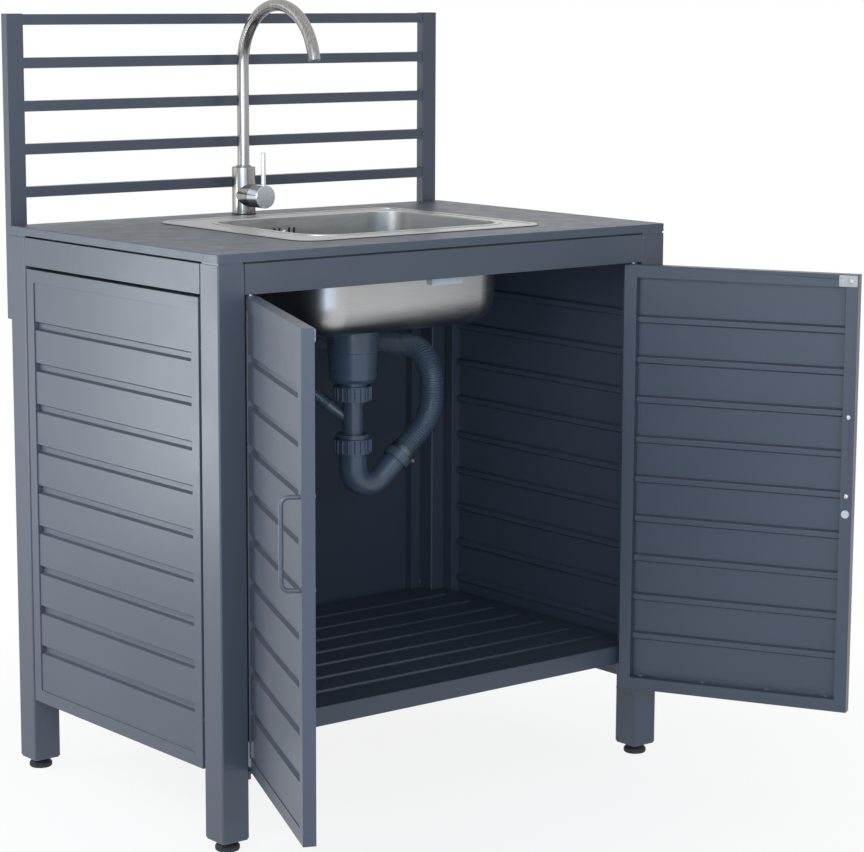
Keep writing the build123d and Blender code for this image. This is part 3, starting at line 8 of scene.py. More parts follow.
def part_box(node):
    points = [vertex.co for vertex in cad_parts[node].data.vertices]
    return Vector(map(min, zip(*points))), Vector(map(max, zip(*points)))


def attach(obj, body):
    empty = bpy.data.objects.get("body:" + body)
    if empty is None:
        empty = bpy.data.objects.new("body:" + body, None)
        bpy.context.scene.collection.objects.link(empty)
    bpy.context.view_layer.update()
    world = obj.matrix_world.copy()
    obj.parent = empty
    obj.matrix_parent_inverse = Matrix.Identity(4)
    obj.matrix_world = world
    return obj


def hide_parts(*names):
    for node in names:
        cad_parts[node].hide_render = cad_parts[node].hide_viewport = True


# Looks of a free-standing steel kitchen sink unit: powder-coated cabinet, slab worktop, brushed
# steel sink and tap, dark plastic waste. Metres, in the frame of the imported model.

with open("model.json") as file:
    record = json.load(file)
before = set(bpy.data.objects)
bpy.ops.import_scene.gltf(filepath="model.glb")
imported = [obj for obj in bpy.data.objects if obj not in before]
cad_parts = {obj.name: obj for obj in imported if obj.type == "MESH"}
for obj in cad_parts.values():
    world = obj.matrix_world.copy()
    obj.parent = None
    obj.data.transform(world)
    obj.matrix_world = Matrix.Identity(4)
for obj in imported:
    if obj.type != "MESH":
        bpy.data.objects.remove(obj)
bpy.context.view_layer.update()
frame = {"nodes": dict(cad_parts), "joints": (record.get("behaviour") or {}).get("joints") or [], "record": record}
nodes = frame["nodes"]
joints = {joint["name"]: joint for joint in frame["joints"]}
MM = 0.001
SIDES = ("left", "right")

# ---------------------------------------------------------------- camera
CAMERA_PLACE = (-2.56836, -3.25817, 1.2785)
CAMERA_YAW = 38.799  # degrees to the right of +Y
CAMERA_PITCH = -9.458
CAMERA_ROLL = 0.238
CAMERA_LENS = 109.31  # mm, on a sensor 36 mm wide
SENSOR = 36.0

# ---------------------------------------------------------------- floor and light, metres
FLOOR_HALF = 30.0
FLOOR_GLOW = 0.87  # share of plain white in what the eye sees of the floor near the unit
GLOW_STARTS = 0.35  # from the unit's middle; the share grows from here to the whole
GLOW_FULL = 1.3
WHITE = (1.0, 1.0, 1.0, 1.0)
DOME = 0.34  # strength of the light from all round
DOME_COLOUR = (0.72, 0.87, 1.0, 1.0)
BLUISH = (0.54, 0.75, 1.0)
PALE_BLUE = (0.9, 0.96, 1.0)
WARM = (1.0, 0.97, 0.9)
LAMPS = [
    # name, place, aim, size, radiance and colour
    ("back_left_lamp", (-2.6, 2.3, 1.3), (0.0, 0.0, 0.5), (1.8, 2.4), 0.8, WARM),
    ("near_back_lamp", (-1.15, 0.68, 0.6), (-0.44, -0.3, 0.75), (0.45, 0.6), 6.2, PALE_BLUE),
    ("near_left_lamp", (-1.15, -0.55, 1.15), (-0.44, -0.25, 0.75), (0.4, 0.5), 7.5, WARM),
    ("left_lamp", (-3.1, -2.3, 1.9), (0.0, 0.0, 0.5), (1.6, 1.6), 2.0, BLUISH),
    ("low_left_lamp", (-3.4, -1.7, 1.0), (0.3, -0.2, 0.5), (1.2, 1.2), 2.6, BLUISH),
    ("fill_lamp", (-2.7, -3.1, 0.6), (0.2, -0.1, 0.4), (1.2, 0.9), 7.0, BLUISH),
    ("front_left_lamp", (-1.7, -3.4, 2.0), (0.1, 0.2, 0.45), (1.6, 1.4), 1.2, BLUISH),
    ("low_front_lamp", (-1.2, -3.6, 1.3), (0.0, 0.0, 0.4), (1.2, 1.2), 3.0, BLUISH),
]

# ---------------------------------------------------------------- colours that materials share
DUST = (0.3, 0.31, 0.32)
YELLOWED = (1.04, 1.0, 0.93)  # what zinc's colour is multiplied by in warm and in cool spangles
BLUED = (0.9, 0.95, 1.02)

# ---------------------------------------------------------------- sizes of the cabinet, mm
DOOR_INNER_Y = -279.5  # inner face of a shut door, from the cabinet's middle
DOOR_EDGE_X = 390.5  # hinge edge of a shut door
DOOR_LOW = 123.0
DOOR_HIGH = 836.0
STILE = 20.0  # side of a door frame's square tube
SHEET_BACK_Y = -295.6  # inner face of a shut door's sheet
HANDLE_X = 12.0  # handle screws, from the middle between the shut doors
HANDLE_ZS = (480.0, 608.0)
SINK_MIDDLE = (16.5, -4.0)
SINK_SIZE = (489.0, 420.0)  # over the rim
SINK_CORNER = 40.0
OVERFLOW_SCREW = (-3.0, 152.0, 877.0)
HOSE_START = (117.47, -1.54, 503.31)  # end of the trap's arm
HOSE_HEADING = (0.6964, -0.1228, 0.7071)
HOSE_RADIUS = 20.0
WORKTOP_TOP = 900.0
WORKTOP_UNDER = 887.0
APRON_TOP = 884.0
TAP_AXIS = (-10.0, 260.0)
TAP_RADIUS = 20.0
TAP_BODY_TOP = 980.0
SPOUT_RADIUS = 10.2
FOOT_RADIUS = 18.0
FOOT_PAD = 8.0  # height of a foot's pad

# ---------------------------------------------------------------- sizes of the added pieces, mm
EDGE_ROUND = 0.5  # on the sharp edges of tubes and sheets
EDGE_SEGMENTS = 2
EDGE_ANGLE = 30.0  # degrees; sharper edges are rounded
MERGE_REACH = 0.01  # points of a mesh nearer than this are one
HEAD_STEPS = 32  # round a screw's head
RING_STEPS = 64  # round a gasket or clamp
COLLAR_STEPS = 48
TACK_STEPS = 12

# A profile is a list of radius and height, turned about Z.
PAN_HEAD = [(0.0, 0.0), (4.0, 0.0), (4.1, 0.5), (3.8, 1.3), (3.0, 1.9), (1.8, 2.25), (0.0, 2.4)]
PAN_CROSS = (2.2, 0.45)  # length and half the width of an arm of the recess
PAN_CROSS_HEIGHTS = (1.2, 3.0)  # from the recess's floor to over the head

STRIKE_X = 18.0  # plate's middle, from the middle between the shut doors
STRIKE_DROP = 10.0  # from the door's top to the plate's middle
STRIKE_SIZE = (30.0, 18.0)
STRIKE_CORNER = 2.0
STRIKE_THICK = 1.2
STRIKE_HOLE_R = 3.6
STRIKE_HOLE_HEIGHTS = (-1.0, 2.0)  # from under to over the plate
STRIKE_SCREW_SHIFT = 4.5  # from the plate's middle towards the door's free edge
STRIKE_HEAD = [(0.0, 0.0), (3.5, 0.0), (3.5, 0.8), (3.2, 1.1), (0.0, 1.15)]
STRIKE_CROSS = (2.0, 0.4)
STRIKE_CROSS_HEIGHTS = (0.4, 2.0)

TACK_PLACES = (32.0, 140.0, 250.0, 350.0)  # from the door's hinge edge
# A bead is this dome of radius 1, stretched.
TACK_DOME = [(1.0, 0.0), (0.85, 0.5), (0.5, 0.85), (0.0, 1.0)]
TACK_LENGTH = 4.2  # half a bead's length
TACK_WIDTH = 1.7

SINK_GASKET_GROWTH = 0.6  # added to the rim's width and depth
SINK_GASKET_RISE = 0.4
SINK_GASKET_R = 0.8
# These two profiles give the radius as what is added to the tap's or the spout's.
TAP_GASKET = [(-0.5, 0.0), (1.0, 0.0), (1.2, 0.6), (0.8, 1.2), (-0.5, 1.2)]
SPOUT_COLLAR = [(0.0, 0.0), (3.4, 0.0), (3.6, 0.5), (3.2, 1.8), (0.9, 2.3), (0.0, 2.3)]
OVERFLOW_HEAD = [(0.0, -1.0), (3.6, -1.0), (3.6, 0.2), (3.0, 0.9), (1.6, 1.3), (0.0, 1.4)]

TAPE_INSET = 3.0  # from the apron's face to the tape
TAPE_WIDTH = 6.0
TAPE_END_GAP = 1.0
TAPE_GAP = 0.05  # under and over the tape

CLAMP_REACH = 13.0  # from the hose's start to the clamp
CLAMP_BAND = [(0.1, -4.0), (1.1, -4.0), (1.4, 0.0), (1.1, 4.0), (0.1, 4.0)]  # out and along
CLAMP_EAR = (15.0, 7.0)  # across and along the hose
CLAMP_EAR_CORNER = 1.5
CLAMP_EAR_HEIGHT = 7.0
CLAMP_EAR_OUT = 7.5  # from the hose's skin to the ear's far face

GRIP_STEPS = 96  # round a pad
GRIP_RIB_STEPS = 4  # from one rib to the next
GRIP_RIDGE = 0.8  # out from the pad at a rib, and between ribs
GRIP_GROOVE = 0.1
GRIP_LOW = 2.0
GRIP_TOP_GAP = 1.0  # from the grip up to the pad's top


# ---------------------------------------------------------------- camera, lights and floor
def link(thing):
    """Puts an object into the scene."""
    bpy.context.scene.collection.objects.link(thing)


def make_camera():
    """The camera, in front of the unit's left corner."""
    data = bpy.data.cameras.new("camera")
    data.lens = CAMERA_LENS
    data.sensor_width = SENSOR
    data.sensor_fit = "HORIZONTAL"
    camera = bpy.data.objects.new("camera", data)
    link(camera)
    turn = Matrix.Rotation(radians(-CAMERA_YAW), 4, "Z")
    tilt = Matrix.Rotation(radians(90 + CAMERA_PITCH), 4, "X")
    roll = Matrix.Rotation(radians(CAMERA_ROLL), 4, "Z")
    camera.matrix_world = Matrix.Translation(CAMERA_PLACE) @ turn @ tilt @ roll
    bpy.context.scene.camera = camera


def softbox(name, place, aim, size, radiance, colour):
    """A rectangular lamp whose face has the given radiance."""
    data = bpy.data.lights.new(name, "AREA")
    data.shape = "RECTANGLE"
    data.size, data.size_y = size
    data.energy = radiance * pi * size[0] * size[1]
    data.color = colour
    lamp = bpy.data.objects.new(name, data)
    link(lamp)
    lamp.location = place
    lamp.visible_camera = False
    heading = Vector(aim) - Vector(place)
    lamp.rotation_euler = heading.to_track_quat("-Z", "Y").to_euler()


class Graph:
    """A material's nodes, with short ways to add what the surfaces need."""

    def __init__(self, name, **sockets):
        self.material = bpy.data.materials.new(name)
        self.material.use_nodes = True
        self.tree = self.material.node_tree
        self.shader = self.tree.nodes["Principled BSDF"]
        self.output = self.tree.nodes["Material Output"]
        self.where = self.add("ShaderNodeTexCoord").outputs["Object"]
        for socket, value in sockets.items():
            self.shader.inputs[socket].default_value = value

    def add(self, kind, inputs=None, **settings):
        """A new node with its settings, and its inputs linked or set."""
        made = self.tree.nodes.new(kind)
        for key, value in settings.items():
            setattr(made, key, value)
        for key, value in (inputs or {}).items():
            self.put(made.inputs[key], value)
        return made

    def put(self, socket, value):
        """Links a socket to another's output, or sets its value."""
        if isinstance(value, bpy.types.NodeSocket):
            self.tree.links.new(value, socket)
        else:
            socket.default_value = value

    def noise(self, scale, detail=2.0, stretch=(1.0, 1.0, 1.0)):
        """Noise with about scale waves to the metre, times stretch along each axis."""
        mapping = self.add("ShaderNodeMapping", {"Vector": self.where, "Scale": stretch})
        made = self.add("ShaderNodeTexNoise", {"Vector": mapping.outputs[0], "Scale": scale,
                                               "Detail": detail})
        return made.outputs[0]

    def spread(self, value, low, high, near=0.3, far=0.7):
        """value, from near to far, laid out from low to high."""
        made = self.add("ShaderNodeMapRange", {"Value": value, "From Min": near, "From Max": far,
                                               "To Min": low, "To Max": high})
        return made.outputs[0]

    def math(self, operation, first, second):
        """One sum, product or larger of two values."""
        return self.add("ShaderNodeMath", {0: first, 1: second}, operation=operation).outputs[0]

    def tint(self, colour, tone):
        """A colour made lighter or darker by tone."""
        made = self.add("ShaderNodeVectorMath", {0: colour, "Scale": tone}, operation="SCALE")
        return made.outputs[0]

    def between(self, factor, first, second):
        """A mix of two colours; sockets 6 and 7 hold them, and output 2 is the result."""
        made = self.add("ShaderNodeMix", {0: factor}, data_type="RGBA")
        self.put(made.inputs[6], (*first, 1.0) if isinstance(first, tuple) else first)
        self.put(made.inputs[7], (*second, 1.0) if isinstance(second, tuple) else second)
        return made.outputs[2]

    def colour(self, value):
        """Sets the surface's colour."""
        self.put(self.shader.inputs["Base Color"], value)

    def rough(self, value):
        """Sets the surface's roughness."""
        self.put(self.shader.inputs["Roughness"], value)

    def bump(self, height, distance, strength=1.0, under=None):
        """Bump of a depth in millimetres, over another one where under is given."""
        inputs = {"Height": height, "Distance": distance * MM, "Strength": strength}
        if under:
            inputs["Normal"] = under
        made = self.add("ShaderNodeBump", inputs)
        self.put(self.shader.inputs["Normal"], made.outputs[0])
        return made.outputs[0]


def floor_material():
    """Pale floor that keeps a soft shadow near the unit and turns white further out."""
    graph = Graph("floor", Roughness=0.9)
    tone = graph.spread(graph.noise(scale=3.0), low=0.90, high=0.94)
    graph.colour(graph.tint(WHITE[:3], tone))
    reach = graph.add("ShaderNodeVectorMath", {0: graph.where}, operation="LENGTH").outputs["Value"]
    far = graph.spread(reach, low=FLOOR_GLOW, high=1.0, near=GLOW_STARTS, far=GLOW_FULL)
    rays = graph.add("ShaderNodeLightPath").outputs
    seen = graph.math("MAXIMUM", rays["Is Camera Ray"], rays["Is Glossy Ray"])
    seen = graph.math("MAXIMUM", seen, rays["Is Transmission Ray"])
    glow = graph.add("ShaderNodeEmission", {"Color": WHITE, "Strength": 1.0})
    share = graph.math("MULTIPLY", far, seen)
    mixed = graph.add("ShaderNodeMixShader", {0: share, 1: graph.shader.outputs[0],
                                              2: glow.outputs[0]})
    graph.put(graph.output.inputs["Surface"], mixed.outputs[0])
    return graph.material


def make_stage():
    """The floor."""
    half = FLOOR_HALF
    mesh = bpy.data.meshes.new("floor")
    mesh.from_pydata([(-half, -half, 0), (half, -half, 0), (half, half, 0), (-half, half, 0)], [],
                     [(0, 1, 2, 3)])
    floor = bpy.data.objects.new("floor", mesh)
    link(floor)
    floor.data.materials.append(floor_material())


def make_light():
    """White to the eye and in gloss, a plain bluish dome as light, and softboxes."""
    world = bpy.data.worlds.new("studio")
    bpy.context.scene.world = world
    world.use_nodes = True
    tree = world.node_tree
    tree.nodes.clear()
    rays = tree.nodes.new("ShaderNodeLightPath").outputs
    seen = tree.nodes.new("ShaderNodeMath")
    seen.operation = "MAXIMUM"
    tree.links.new(rays["Is Camera Ray"], seen.inputs[0])
    tree.links.new(rays["Is Glossy Ray"], seen.inputs[1])
    dome = tree.nodes.new("ShaderNodeBackground")
    dome.inputs["Color"].default_value = DOME_COLOUR
    dome.inputs["Strength"].default_value = DOME
    white = tree.nodes.new("ShaderNodeBackground")
    white.inputs["Color"].default_value = WHITE
    mixed = tree.nodes.new("ShaderNodeMixShader")
    tree.links.new(seen.outputs[0], mixed.inputs[0])
    tree.links.new(dome.outputs[0], mixed.inputs[1])
    tree.links.new(white.outputs[0], mixed.inputs[2])
    tree.links.new(mixed.outputs[0], tree.nodes.new("ShaderNodeOutputWorld").inputs["Surface"])
    for lamp in LAMPS:
        softbox(*lamp)


# ---------------------------------------------------------------- materials
def powder_coat(name, colour, roughness):
    """Satin powder coat: slight clouding, fine specks and orange peel."""
    graph = Graph(name, IOR=1.5)
    cloud = graph.spread(graph.noise(scale=3.0, detail=3.0), low=0.95, high=1.05)
    speck = graph.spread(graph.noise(scale=1600.0), low=0.93, high=1.07)
    graph.colour(graph.tint(colour, graph.math("MULTIPLY", cloud, speck)))
    smear = graph.noise(scale=9.0, detail=4.0)
    graph.rough(graph.spread(smear, low=roughness - 0.04, high=roughness + 0.04))
    peel = graph.bump(graph.noise(scale=420.0), distance=0.25, strength=0.35)
    graph.bump(graph.noise(scale=1900.0, detail=1.0), distance=0.06, strength=0.4, under=peel)
    return graph.material


def slab(name, colour, roughness):
    """Matt slab with a close, slightly pitted grain."""
    graph = Graph(name, IOR=1.5)
    cloud = graph.spread(graph.noise(scale=4.0, detail=4.0), low=0.94, high=1.06)
    grain = graph.spread(graph.noise(scale=1100.0, detail=3.0), low=0.85, high=1.16)
    graph.colour(graph.tint(colour, graph.math("MULTIPLY", cloud, grain)))
    smear = graph.noise(scale=30.0, detail=5.0)
    graph.rough(graph.spread(smear, low=roughness - 0.05, high=roughness + 0.06))
    coarse = graph.bump(graph.noise(scale=620.0, detail=3.0), distance=0.2, strength=0.5)
    graph.bump(graph.noise(scale=2400.0, detail=1.0), distance=0.05, strength=0.5, under=coarse)
    return graph.material


def brushed_steel(name, colour, roughness, stretch, depth=0.06):
    """Brushed stainless steel; the streaks run along the axis that stretch leaves long. Where depth is large, as
    on the tap, the colour streaks are painted reflection bands.
    """
    graph = Graph(name, Metallic=1.0)
    streak = graph.noise(scale=1.0, detail=3.0, stretch=stretch)
    haze = graph.noise(scale=12.0, detail=3.0)
    # Colour streaks: brushing on the sink and the lever; on the tap, with its large depth, painted dark reflection
    # bands.
    streaks = graph.spread(streak, low=1.0 - depth, high=1.0 + depth)
    graph.colour(graph.tint(colour, graph.math("MULTIPLY", streaks,
                                               graph.spread(haze, low=0.97, high=1.03))))
    smear = graph.spread(haze, low=roughness - 0.03, high=roughness + 0.04)
    graph.rough(graph.math("ADD", graph.spread(streak, low=-0.05, high=0.06), smear))
    graph.bump(streak, distance=0.03, strength=0.6)
    return graph.material


def moulded_plastic(name, colour, roughness, dust=0.0):
    """Moulded plastic with a faint grain, uneven gloss and a little pale dust."""
    graph = Graph(name, IOR=1.5)
    cloud = graph.noise(scale=14.0, detail=4.0)
    tone = graph.spread(graph.noise(scale=900.0), low=0.92, high=1.08)
    settled = graph.spread(cloud, low=0.0, high=dust, near=0.45, far=0.75)
    graph.colour(graph.between(settled, graph.tint(colour, tone), DUST))
    smear = graph.noise(scale=40.0, detail=3.0)
    graph.rough(graph.spread(smear, low=roughness - 0.05, high=roughness + 0.07))
    graph.bump(graph.noise(scale=1300.0), distance=0.05, strength=0.5)
    return graph.material


def zinc_plate(name, colour, roughness):
    """Zinc plating with a mottled, faintly yellow and blue spangle."""
    graph = Graph(name, Metallic=1.0)
    spangle = graph.add("ShaderNodeTexVoronoi", {"Vector": graph.where, "Scale": 420.0})
    grains = spangle.outputs["Distance"]
    patch = graph.spread(grains, low=0.0, high=1.0, near=0.1, far=0.7)
    warm = tuple(part * tone for part, tone in zip(colour, YELLOWED))
    cool = tuple(part * tone for part, tone in zip(colour, BLUED))
    graph.colour(graph.between(patch, warm, cool))
    smear = graph.noise(scale=260.0, detail=3.0)
    graph.rough(graph.spread(smear, low=roughness - 0.08, high=roughness + 0.12))
    graph.bump(grains, distance=0.08, strength=0.5)
    return graph.material


# Each has a name, colour and roughness, then a steel's stretch and depth or a plastic's dust.
MATERIALS = {
    "coat": powder_coat("powder_coat", (0.08, 0.089, 0.113), 0.36),
    "worktop": slab("worktop_slab", (0.08, 0.093, 0.118), 0.42),
    "sink": brushed_steel("sink_steel", (0.47, 0.475, 0.475), 0.34, (30.0, 1500.0, 300.0)),
    # The tap's steel is darker than the sink's and deeply streaked up and down: painted dark reflections.
    "tap": brushed_steel("tap_steel_painted_reflections", (0.3, 0.296, 0.288), 0.2, (420.0, 420.0, 5.0), 0.3),
    "lever": brushed_steel("lever_steel", (0.58, 0.62, 0.66), 0.24, (500.0, 30.0, 500.0)),
    # The waste's dark plastic is given a lighter, bluish colour: its own dark grey plus a painted bluish sheen.
    "plastic": moulded_plastic("black_plastic", (0.1, 0.128, 0.17), 0.3, 0.06),
    "rubber": moulded_plastic("black_rubber", (0.014, 0.015, 0.017), 0.6, 0.08),
    "plated": zinc_plate("plated_steel", (0.62, 0.62, 0.62), 0.34),
    "catch": moulded_plastic("catch_plastic", (0.72, 0.7, 0.67), 0.45, 0.1),
    "dull": zinc_plate("dull_steel", (0.15, 0.15, 0.155), 0.55),
    "white": moulded_plastic("white_plastic", (0.8, 0.81, 0.82), 0.35),
    "galvanised": zinc_plate("galvanised_steel", (0.37, 0.36, 0.345), 0.5),
    "weld": powder_coat("coated_weld", (0.16, 0.18, 0.22), 0.3),
}

SLOT_MATERIALS = {
    "coated_steel": "coat",
    "worktop_board": "worktop",
    "stainless": "tap",
    "fastener_steel": "plated",
    "black_plastic": "plastic",
    "catch_plastic": "catch",
    "white_plastic": "white",
}
SPECIAL_MATERIALS = {
    "sink": "sink",
    "waste_flange": "sink",
    "strainer_basket": "sink",
    "hinge_brackets": "coat",
    "sink_clips": "dull",
    "tap_lever": "lever",
    "front_left_foot": "rubber",
    "front_right_foot": "rubber",
    "rear_left_foot": "rubber",
    "rear_right_foot": "rubber",
}
SOFT_EDGES = ["side_aprons", "upstand_bars", "upstand_posts", "floor_rails", "front_apron",
              "rear_apron", "left_panel_frame", "right_panel_frame", "back_panel_frame",
              "left_panel_sheet", "right_panel_sheet", "left_door_frame", "right_door_frame",
              "left_door_sheet", "right_door_sheet", "magnetic_catch"]


def dress_nodes():
    """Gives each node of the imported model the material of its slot, or its own."""
    slots = {part["node"]: part["material_slot"] for part in frame["record"]["subparts"]}
    for name, piece in nodes.items():
        kind = SPECIAL_MATERIALS.get(name, SLOT_MATERIALS[slots[name]])
        piece.data.materials.clear()
        piece.data.materials.append(MATERIALS[kind])


def soften_edges():
    """Rounds the sharp edges of tubes and sheets by a little."""
    for name in SOFT_EDGES:
        piece = nodes[name]
        weld = piece.modifiers.new("weld", "WELD")
        weld.merge_threshold = MERGE_REACH * MM
        bevel = piece.modifiers.new("bevel", "BEVEL")
        bevel.width = EDGE_ROUND * MM
        bevel.segments = EDGE_SEGMENTS
        bevel.limit_method = "ANGLE"
        bevel.angle_limit = radians(EDGE_ANGLE)
        bevel.use_clamp_overlap = False
        normals = piece.modifiers.new("normals", "WEIGHTED_NORMAL")
        normals.keep_sharp = True


# ---------------------------------------------------------------- mesh helpers
def cabinet_middle():
    """Middle of the four legs, on the floor."""
    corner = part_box("front_left_leg")[0]
    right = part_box("front_right_leg")[1].x
    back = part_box("rear_left_leg")[1].y
    return Vector(((corner.x + right) / 2, (corner.y + back) / 2, 0.0))


CENTRE = cabinet_middle()


def add_piece(name, verts, faces, material, body, slot, place=None, smooth=True):
    """A new piece from points in millimetres, set in place and carried by a body."""
    mesh = bpy.data.meshes.new(name)
    mesh.from_pydata([Vector(v) * MM for v in verts], [], faces)
    mesh.validate()
    mesh.polygons.foreach_set("use_smooth", [smooth] * len(mesh.polygons))
    mesh.materials.append(MATERIALS[material])
    piece = bpy.data.objects.new(name, mesh)
    link(piece)
    mesh.transform(place or Matrix.Translation(CENTRE))
    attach(piece, body)
    return piece


def circle(radius, steps):
    """Points of a circle about the origin."""
    angles = [2 * pi * step / steps for step in range(steps)]
    return [(radius * cos(angle), radius * sin(angle)) for angle in angles]


def turned(profile, steps, closed=False):
    """Points and faces of a profile of radius and height, turned about Z."""
    count = len(profile)
    verts = []
    for step in range(steps):
        angle = 2 * pi * step / steps
        verts += [(r * cos(angle), r * sin(angle), z) for r, z in profile]
    faces = []
    for step in range(steps):
        here = step * count
        there = (step + 1) % steps * count
        for row in range(count if closed else count - 1):
            after = (row + 1) % count
            faces.append((here + row, there + row, there + after, here + after))
    return verts, faces


def widened(profile, radius):
    """A profile with a radius added to each of its own."""
    return [(radius + out, z) for out, z in profile]


def joined(*parts):
    """Several sets of points and faces as one."""
    verts, faces = [], []
    for part_verts, part_faces in parts:
        base = len(verts)
        verts += part_verts
        faces += [tuple(base + i for i in face) for face in part_faces]
    return verts, faces


def moved(part, offset):
    """Points and faces shifted by an offset."""
    verts, faces = part
    return [tuple(a + b for a, b in zip(v, offset)) for v in verts], faces


def door_place(side, x, y, z):
    """Puts a piece on an open door: +Z of the piece is the door's inward normal when shut."""
    joint = joints[side + "_door_hinge"]
    pivot = Matrix.Translation(joint["pos_m"])
    opening = Matrix.Rotation(radians(-joint["range_deg"][0]), 4, Vector(joint["axis"]))
    sign = -1 if side == "left" else 1
    shut = Matrix.Translation(CENTRE + Vector((sign * x, y, z)) * MM)
    return pivot @ opening @ pivot.inverted() @ shut @ Matrix.Rotation(radians(-90), 4, "X")


def cut_from(piece, verts, faces):
    """Takes a closed shape, in the piece's own coordinates, out of a piece."""
    mesh = bpy.data.meshes.new("cutter")
    mesh.from_pydata([Vector(v) * MM for v in verts], [], faces)
    cutter = bpy.data.objects.new("cutter", mesh)
    link(cutter)
    step = piece.modifiers.new("cut", "BOOLEAN")
    step.operation = "DIFFERENCE"
    step.solver = "EXACT"
    step.object = cutter
    bpy.context.view_layer.update()
    evaluated = piece.evaluated_get(bpy.context.evaluated_depsgraph_get())
    result = bpy.data.meshes.new_from_object(evaluated)
    piece.modifiers.clear()
    piece.data = result
    bpy.data.objects.remove(cutter)


def prism(outline, low, high):
    """Points and faces of a straight prism from an outline of x, y pairs."""
    count = len(outline)
    verts = [(x, y, low) for x, y in outline] + [(x, y, high) for x, y in outline]
    faces = [tuple(reversed(range(count))), tuple(range(count, 2 * count))]
    for here in range(count):
        there = (here + 1) % count
        faces.append((here, there, count + there, count + here))
    return verts, faces


def cross(arm, width):
    """Outline of a plus sign, from the length of an arm and half its width."""
    return [(width, width), (width, arm), (-width, arm), (-width, width), (-arm, width),
            (-arm, -width), (-width, -width), (-width, -arm), (width, -arm), (width, -width),
            (arm, -width), (arm, width)]


def rounded_outline(width, depth, corner, steps=8):
    """Outline of a rectangle with rounded corners."""
    points = []
    for quarter in range(4):
        x = (width / 2 - corner) * (1 if quarter in (0, 3) else -1)
        y = (depth / 2 - corner) * (1 if quarter in (0, 1) else -1)
        for step in range(steps + 1):
            angle = pi / 2 * (quarter + step / steps)
            points.append((x + corner * cos(angle), y + corner * sin(angle)))
    return points


def bead(outline, z, radius, steps=10):
    """A closed round bead along an outline at one height."""
    count = len(outline)
    section = circle(radius, steps)
    verts, faces = [], []
    for here in range(count):
        before = Vector(outline[here - 1])
        after = Vector(outline[(here + 1) % count])
        along = (after - before).normalized()
        for out, up in section:
            x = outline[here][0] + along.y * out
            y = outline[here][1] - along.x * out
            verts.append((x, y, z + up))
    for here in range(count):
        there = (here + 1) % count
        for step in range(steps):
            beyond = (step + 1) % steps
            faces.append((here * steps + step, there * steps + step, there * steps + beyond,
                          here * steps + beyond))
    return verts, faces


# ---------------------------------------------------------------- added pieces
def pan_screw(name, side, x, y, z):
    """Screw with a domed head and a cross recess, on the inside of a door."""
    screw = add_piece(name, *turned(PAN_HEAD, HEAD_STEPS), "plated", f"{side}_door",
                      "fastener_steel", Matrix())
    cut_from(screw, *prism(cross(*PAN_CROSS), *PAN_CROSS_HEIGHTS))
    screw.data.transform(door_place(side, x, y, z))
    return screw


def strike_plate(side):
    """Galvanised plate with rounded corners and a countersunk screw."""
    place = door_place(side, STRIKE_X, DOOR_INNER_Y, DOOR_HIGH - STRIKE_DROP)
    outline = rounded_outline(*STRIKE_SIZE, STRIKE_CORNER)
    plate = add_piece(f"{side}_strike_plate", *prism(outline, 0.0, STRIKE_THICK), "galvanised",
                      f"{side}_door", "fastener_steel", Matrix(), smooth=False)
    screw_x = STRIKE_SCREW_SHIFT if side == "left" else -STRIKE_SCREW_SHIFT
    hole = [(x + screw_x, y) for x, y in circle(STRIKE_HOLE_R, HEAD_STEPS)]
    cut_from(plate, *prism(hole, *STRIKE_HOLE_HEIGHTS))
    plate.data.transform(place)
    screw = add_piece(f"{side}_strike_screw", *turned(STRIKE_HEAD, HEAD_STEPS), "plated",
                      f"{side}_door", "fastener_steel", Matrix())
    cut_from(screw, *prism(cross(*STRIKE_CROSS), *STRIKE_CROSS_HEIGHTS))
    screw.data.transform(place @ Matrix.Translation((screw_x * MM, 0.0, 0.0)))
    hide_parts(f"{side}_door_strike_plate")


def tack_welds(side):
    """Small weld beads where a door's sheet meets its frame, inside, at the foot and the head."""
    dome, faces = turned(TACK_DOME, TACK_STEPS)
    beads = []
    for z, up in ((DOOR_LOW + STILE, 1.0), (DOOR_HIGH - STILE, -1.0)):
        for reach in TACK_PLACES:
            place = door_place(side, DOOR_EDGE_X - reach, SHEET_BACK_Y, z)
            local = [Vector((a * TACK_LENGTH, up * b * TACK_WIDTH, c * TACK_WIDTH))
                     for a, b, c in dome]
            beads.append(([tuple(place @ (point * MM) / MM) for point in local], faces))
    add_piece(f"{side}_door_welds", *joined(*beads), "weld", f"{side}_door", "coated_steel",
              Matrix())


def door_details():
    """Handle screws, strike plate and welds of both doors."""
    for side in SIDES:
        screws = [pan_screw(f"{side}_handle_screw_{row}", side, HANDLE_X, DOOR_INNER_Y, z)
                  for row, z in enumerate(HANDLE_ZS)]
        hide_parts(f"{side}_door_handle_screws")
        strike_plate(side)
        tack_welds(side)


def sink_gasket():
    """Dark gasket that shows as a thin line round the sink's rim."""
    width, depth = (size + SINK_GASKET_GROWTH for size in SINK_SIZE)
    ring = bead([(x + SINK_MIDDLE[0], y + SINK_MIDDLE[1])
                 for x, y in rounded_outline(width, depth, SINK_CORNER)],
                WORKTOP_TOP + SINK_GASKET_RISE, SINK_GASKET_R)
    add_piece("sink_gasket", *ring, "rubber", "cabinet", "black_plastic")


def tap_rings():
    """Gasket under the tap and the slip ring under the spout."""
    gasket = turned(widened(TAP_GASKET, TAP_RADIUS), RING_STEPS, closed=True)
    gasket = moved(gasket, (*TAP_AXIS, WORKTOP_TOP))
    add_piece("tap_gasket", *gasket, "rubber", "cabinet", "black_plastic")
    collar = turned(widened(SPOUT_COLLAR, SPOUT_RADIUS), COLLAR_STEPS, closed=True)
    collar = moved(collar, (*TAP_AXIS, TAP_BODY_TOP))
    add_piece("spout_collar", *collar, "tap", "spout", "stainless")


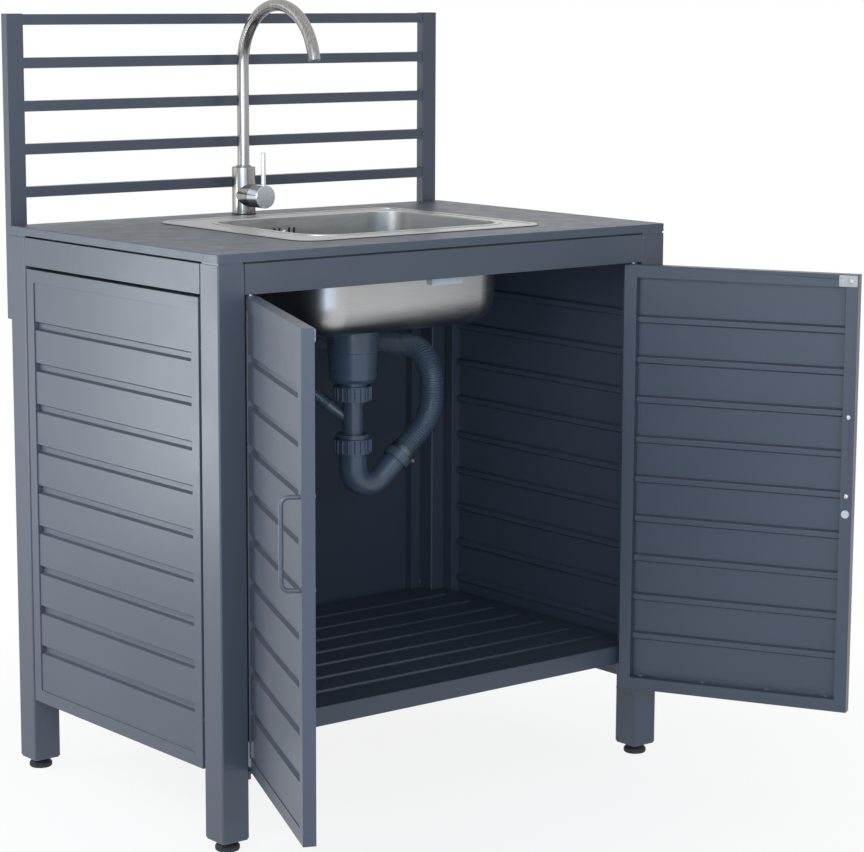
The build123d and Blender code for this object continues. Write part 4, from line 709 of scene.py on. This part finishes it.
def overflow_screw():
    """Domed head between the overflow's slots, on the bowl's rear wall."""
    place = Matrix.Translation(CENTRE + Vector(OVERFLOW_SCREW) * MM)
    add_piece("overflow_screw", *turned(OVERFLOW_HEAD, HEAD_STEPS), "lever", "cabinet",
              "stainless", place @ Matrix.Rotation(radians(90), 4, "X"))


def worktop_tape():
    """Dark foam tape in the gap between the front apron and the worktop."""
    low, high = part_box("front_apron")
    half = (high.x - low.x) / 2 / MM - TAPE_END_GAP
    front = (low.y - CENTRE.y) / MM + TAPE_INSET
    back = front + TAPE_WIDTH
    outline = [(-half, front), (half, front), (half, back), (-half, back)]
    strip = prism(outline, APRON_TOP + TAPE_GAP, WORKTOP_UNDER - TAPE_GAP)
    add_piece("worktop_tape", *strip, "rubber", "cabinet", "black_plastic", smooth=False)


def hose_clamp():
    """Band with a screw housing that holds the waste hose on the trap's arm."""
    band = turned(widened(CLAMP_BAND, HOSE_RADIUS), RING_STEPS, closed=True)
    verts, faces = prism(rounded_outline(*CLAMP_EAR, CLAMP_EAR_CORNER), 0.0, CLAMP_EAR_HEIGHT)
    ear = [(x, z - HOSE_RADIUS - CLAMP_EAR_OUT, y) for x, y, z in verts], faces
    turn = Vector(HOSE_HEADING).to_track_quat("Z", "Y").to_matrix().to_4x4()
    start = CENTRE + (Vector(HOSE_START) + Vector(HOSE_HEADING) * CLAMP_REACH) * MM
    add_piece("hose_clamp", *joined(band, ear), "dull", "cabinet", "fastener_steel",
              Matrix.Translation(start) @ turn, smooth=False)


def foot_grips():
    """Ribbed rings round the pads of the levelling feet."""
    outline = []
    for step in range(GRIP_STEPS):
        rise = GRIP_RIDGE if step % GRIP_RIB_STEPS in (1, 2) else GRIP_GROOVE
        radius = FOOT_RADIUS + rise
        angle = 2 * pi * step / GRIP_STEPS
        outline.append((radius * cos(angle), radius * sin(angle)))
    ring = prism(outline, GRIP_LOW, FOOT_PAD - GRIP_TOP_GAP)
    for end in ("front", "rear"):
        for side in SIDES:
            name = f"{end}_{side}_foot"
            low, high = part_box(name)
            middle = Matrix.Translation(((low.x + high.x) / 2, (low.y + high.y) / 2, 0.0))
            add_piece(f"{name}_grip", *ring, "rubber", name, "black_plastic", middle, smooth=False)


bpy.context.scene.view_settings.view_transform = "Standard"
make_camera()
make_stage()
make_light()
dress_nodes()
soften_edges()
door_details()
sink_gasket()
tap_rings()
overflow_screw()
worktop_tape()
hose_clamp()
foot_grips()
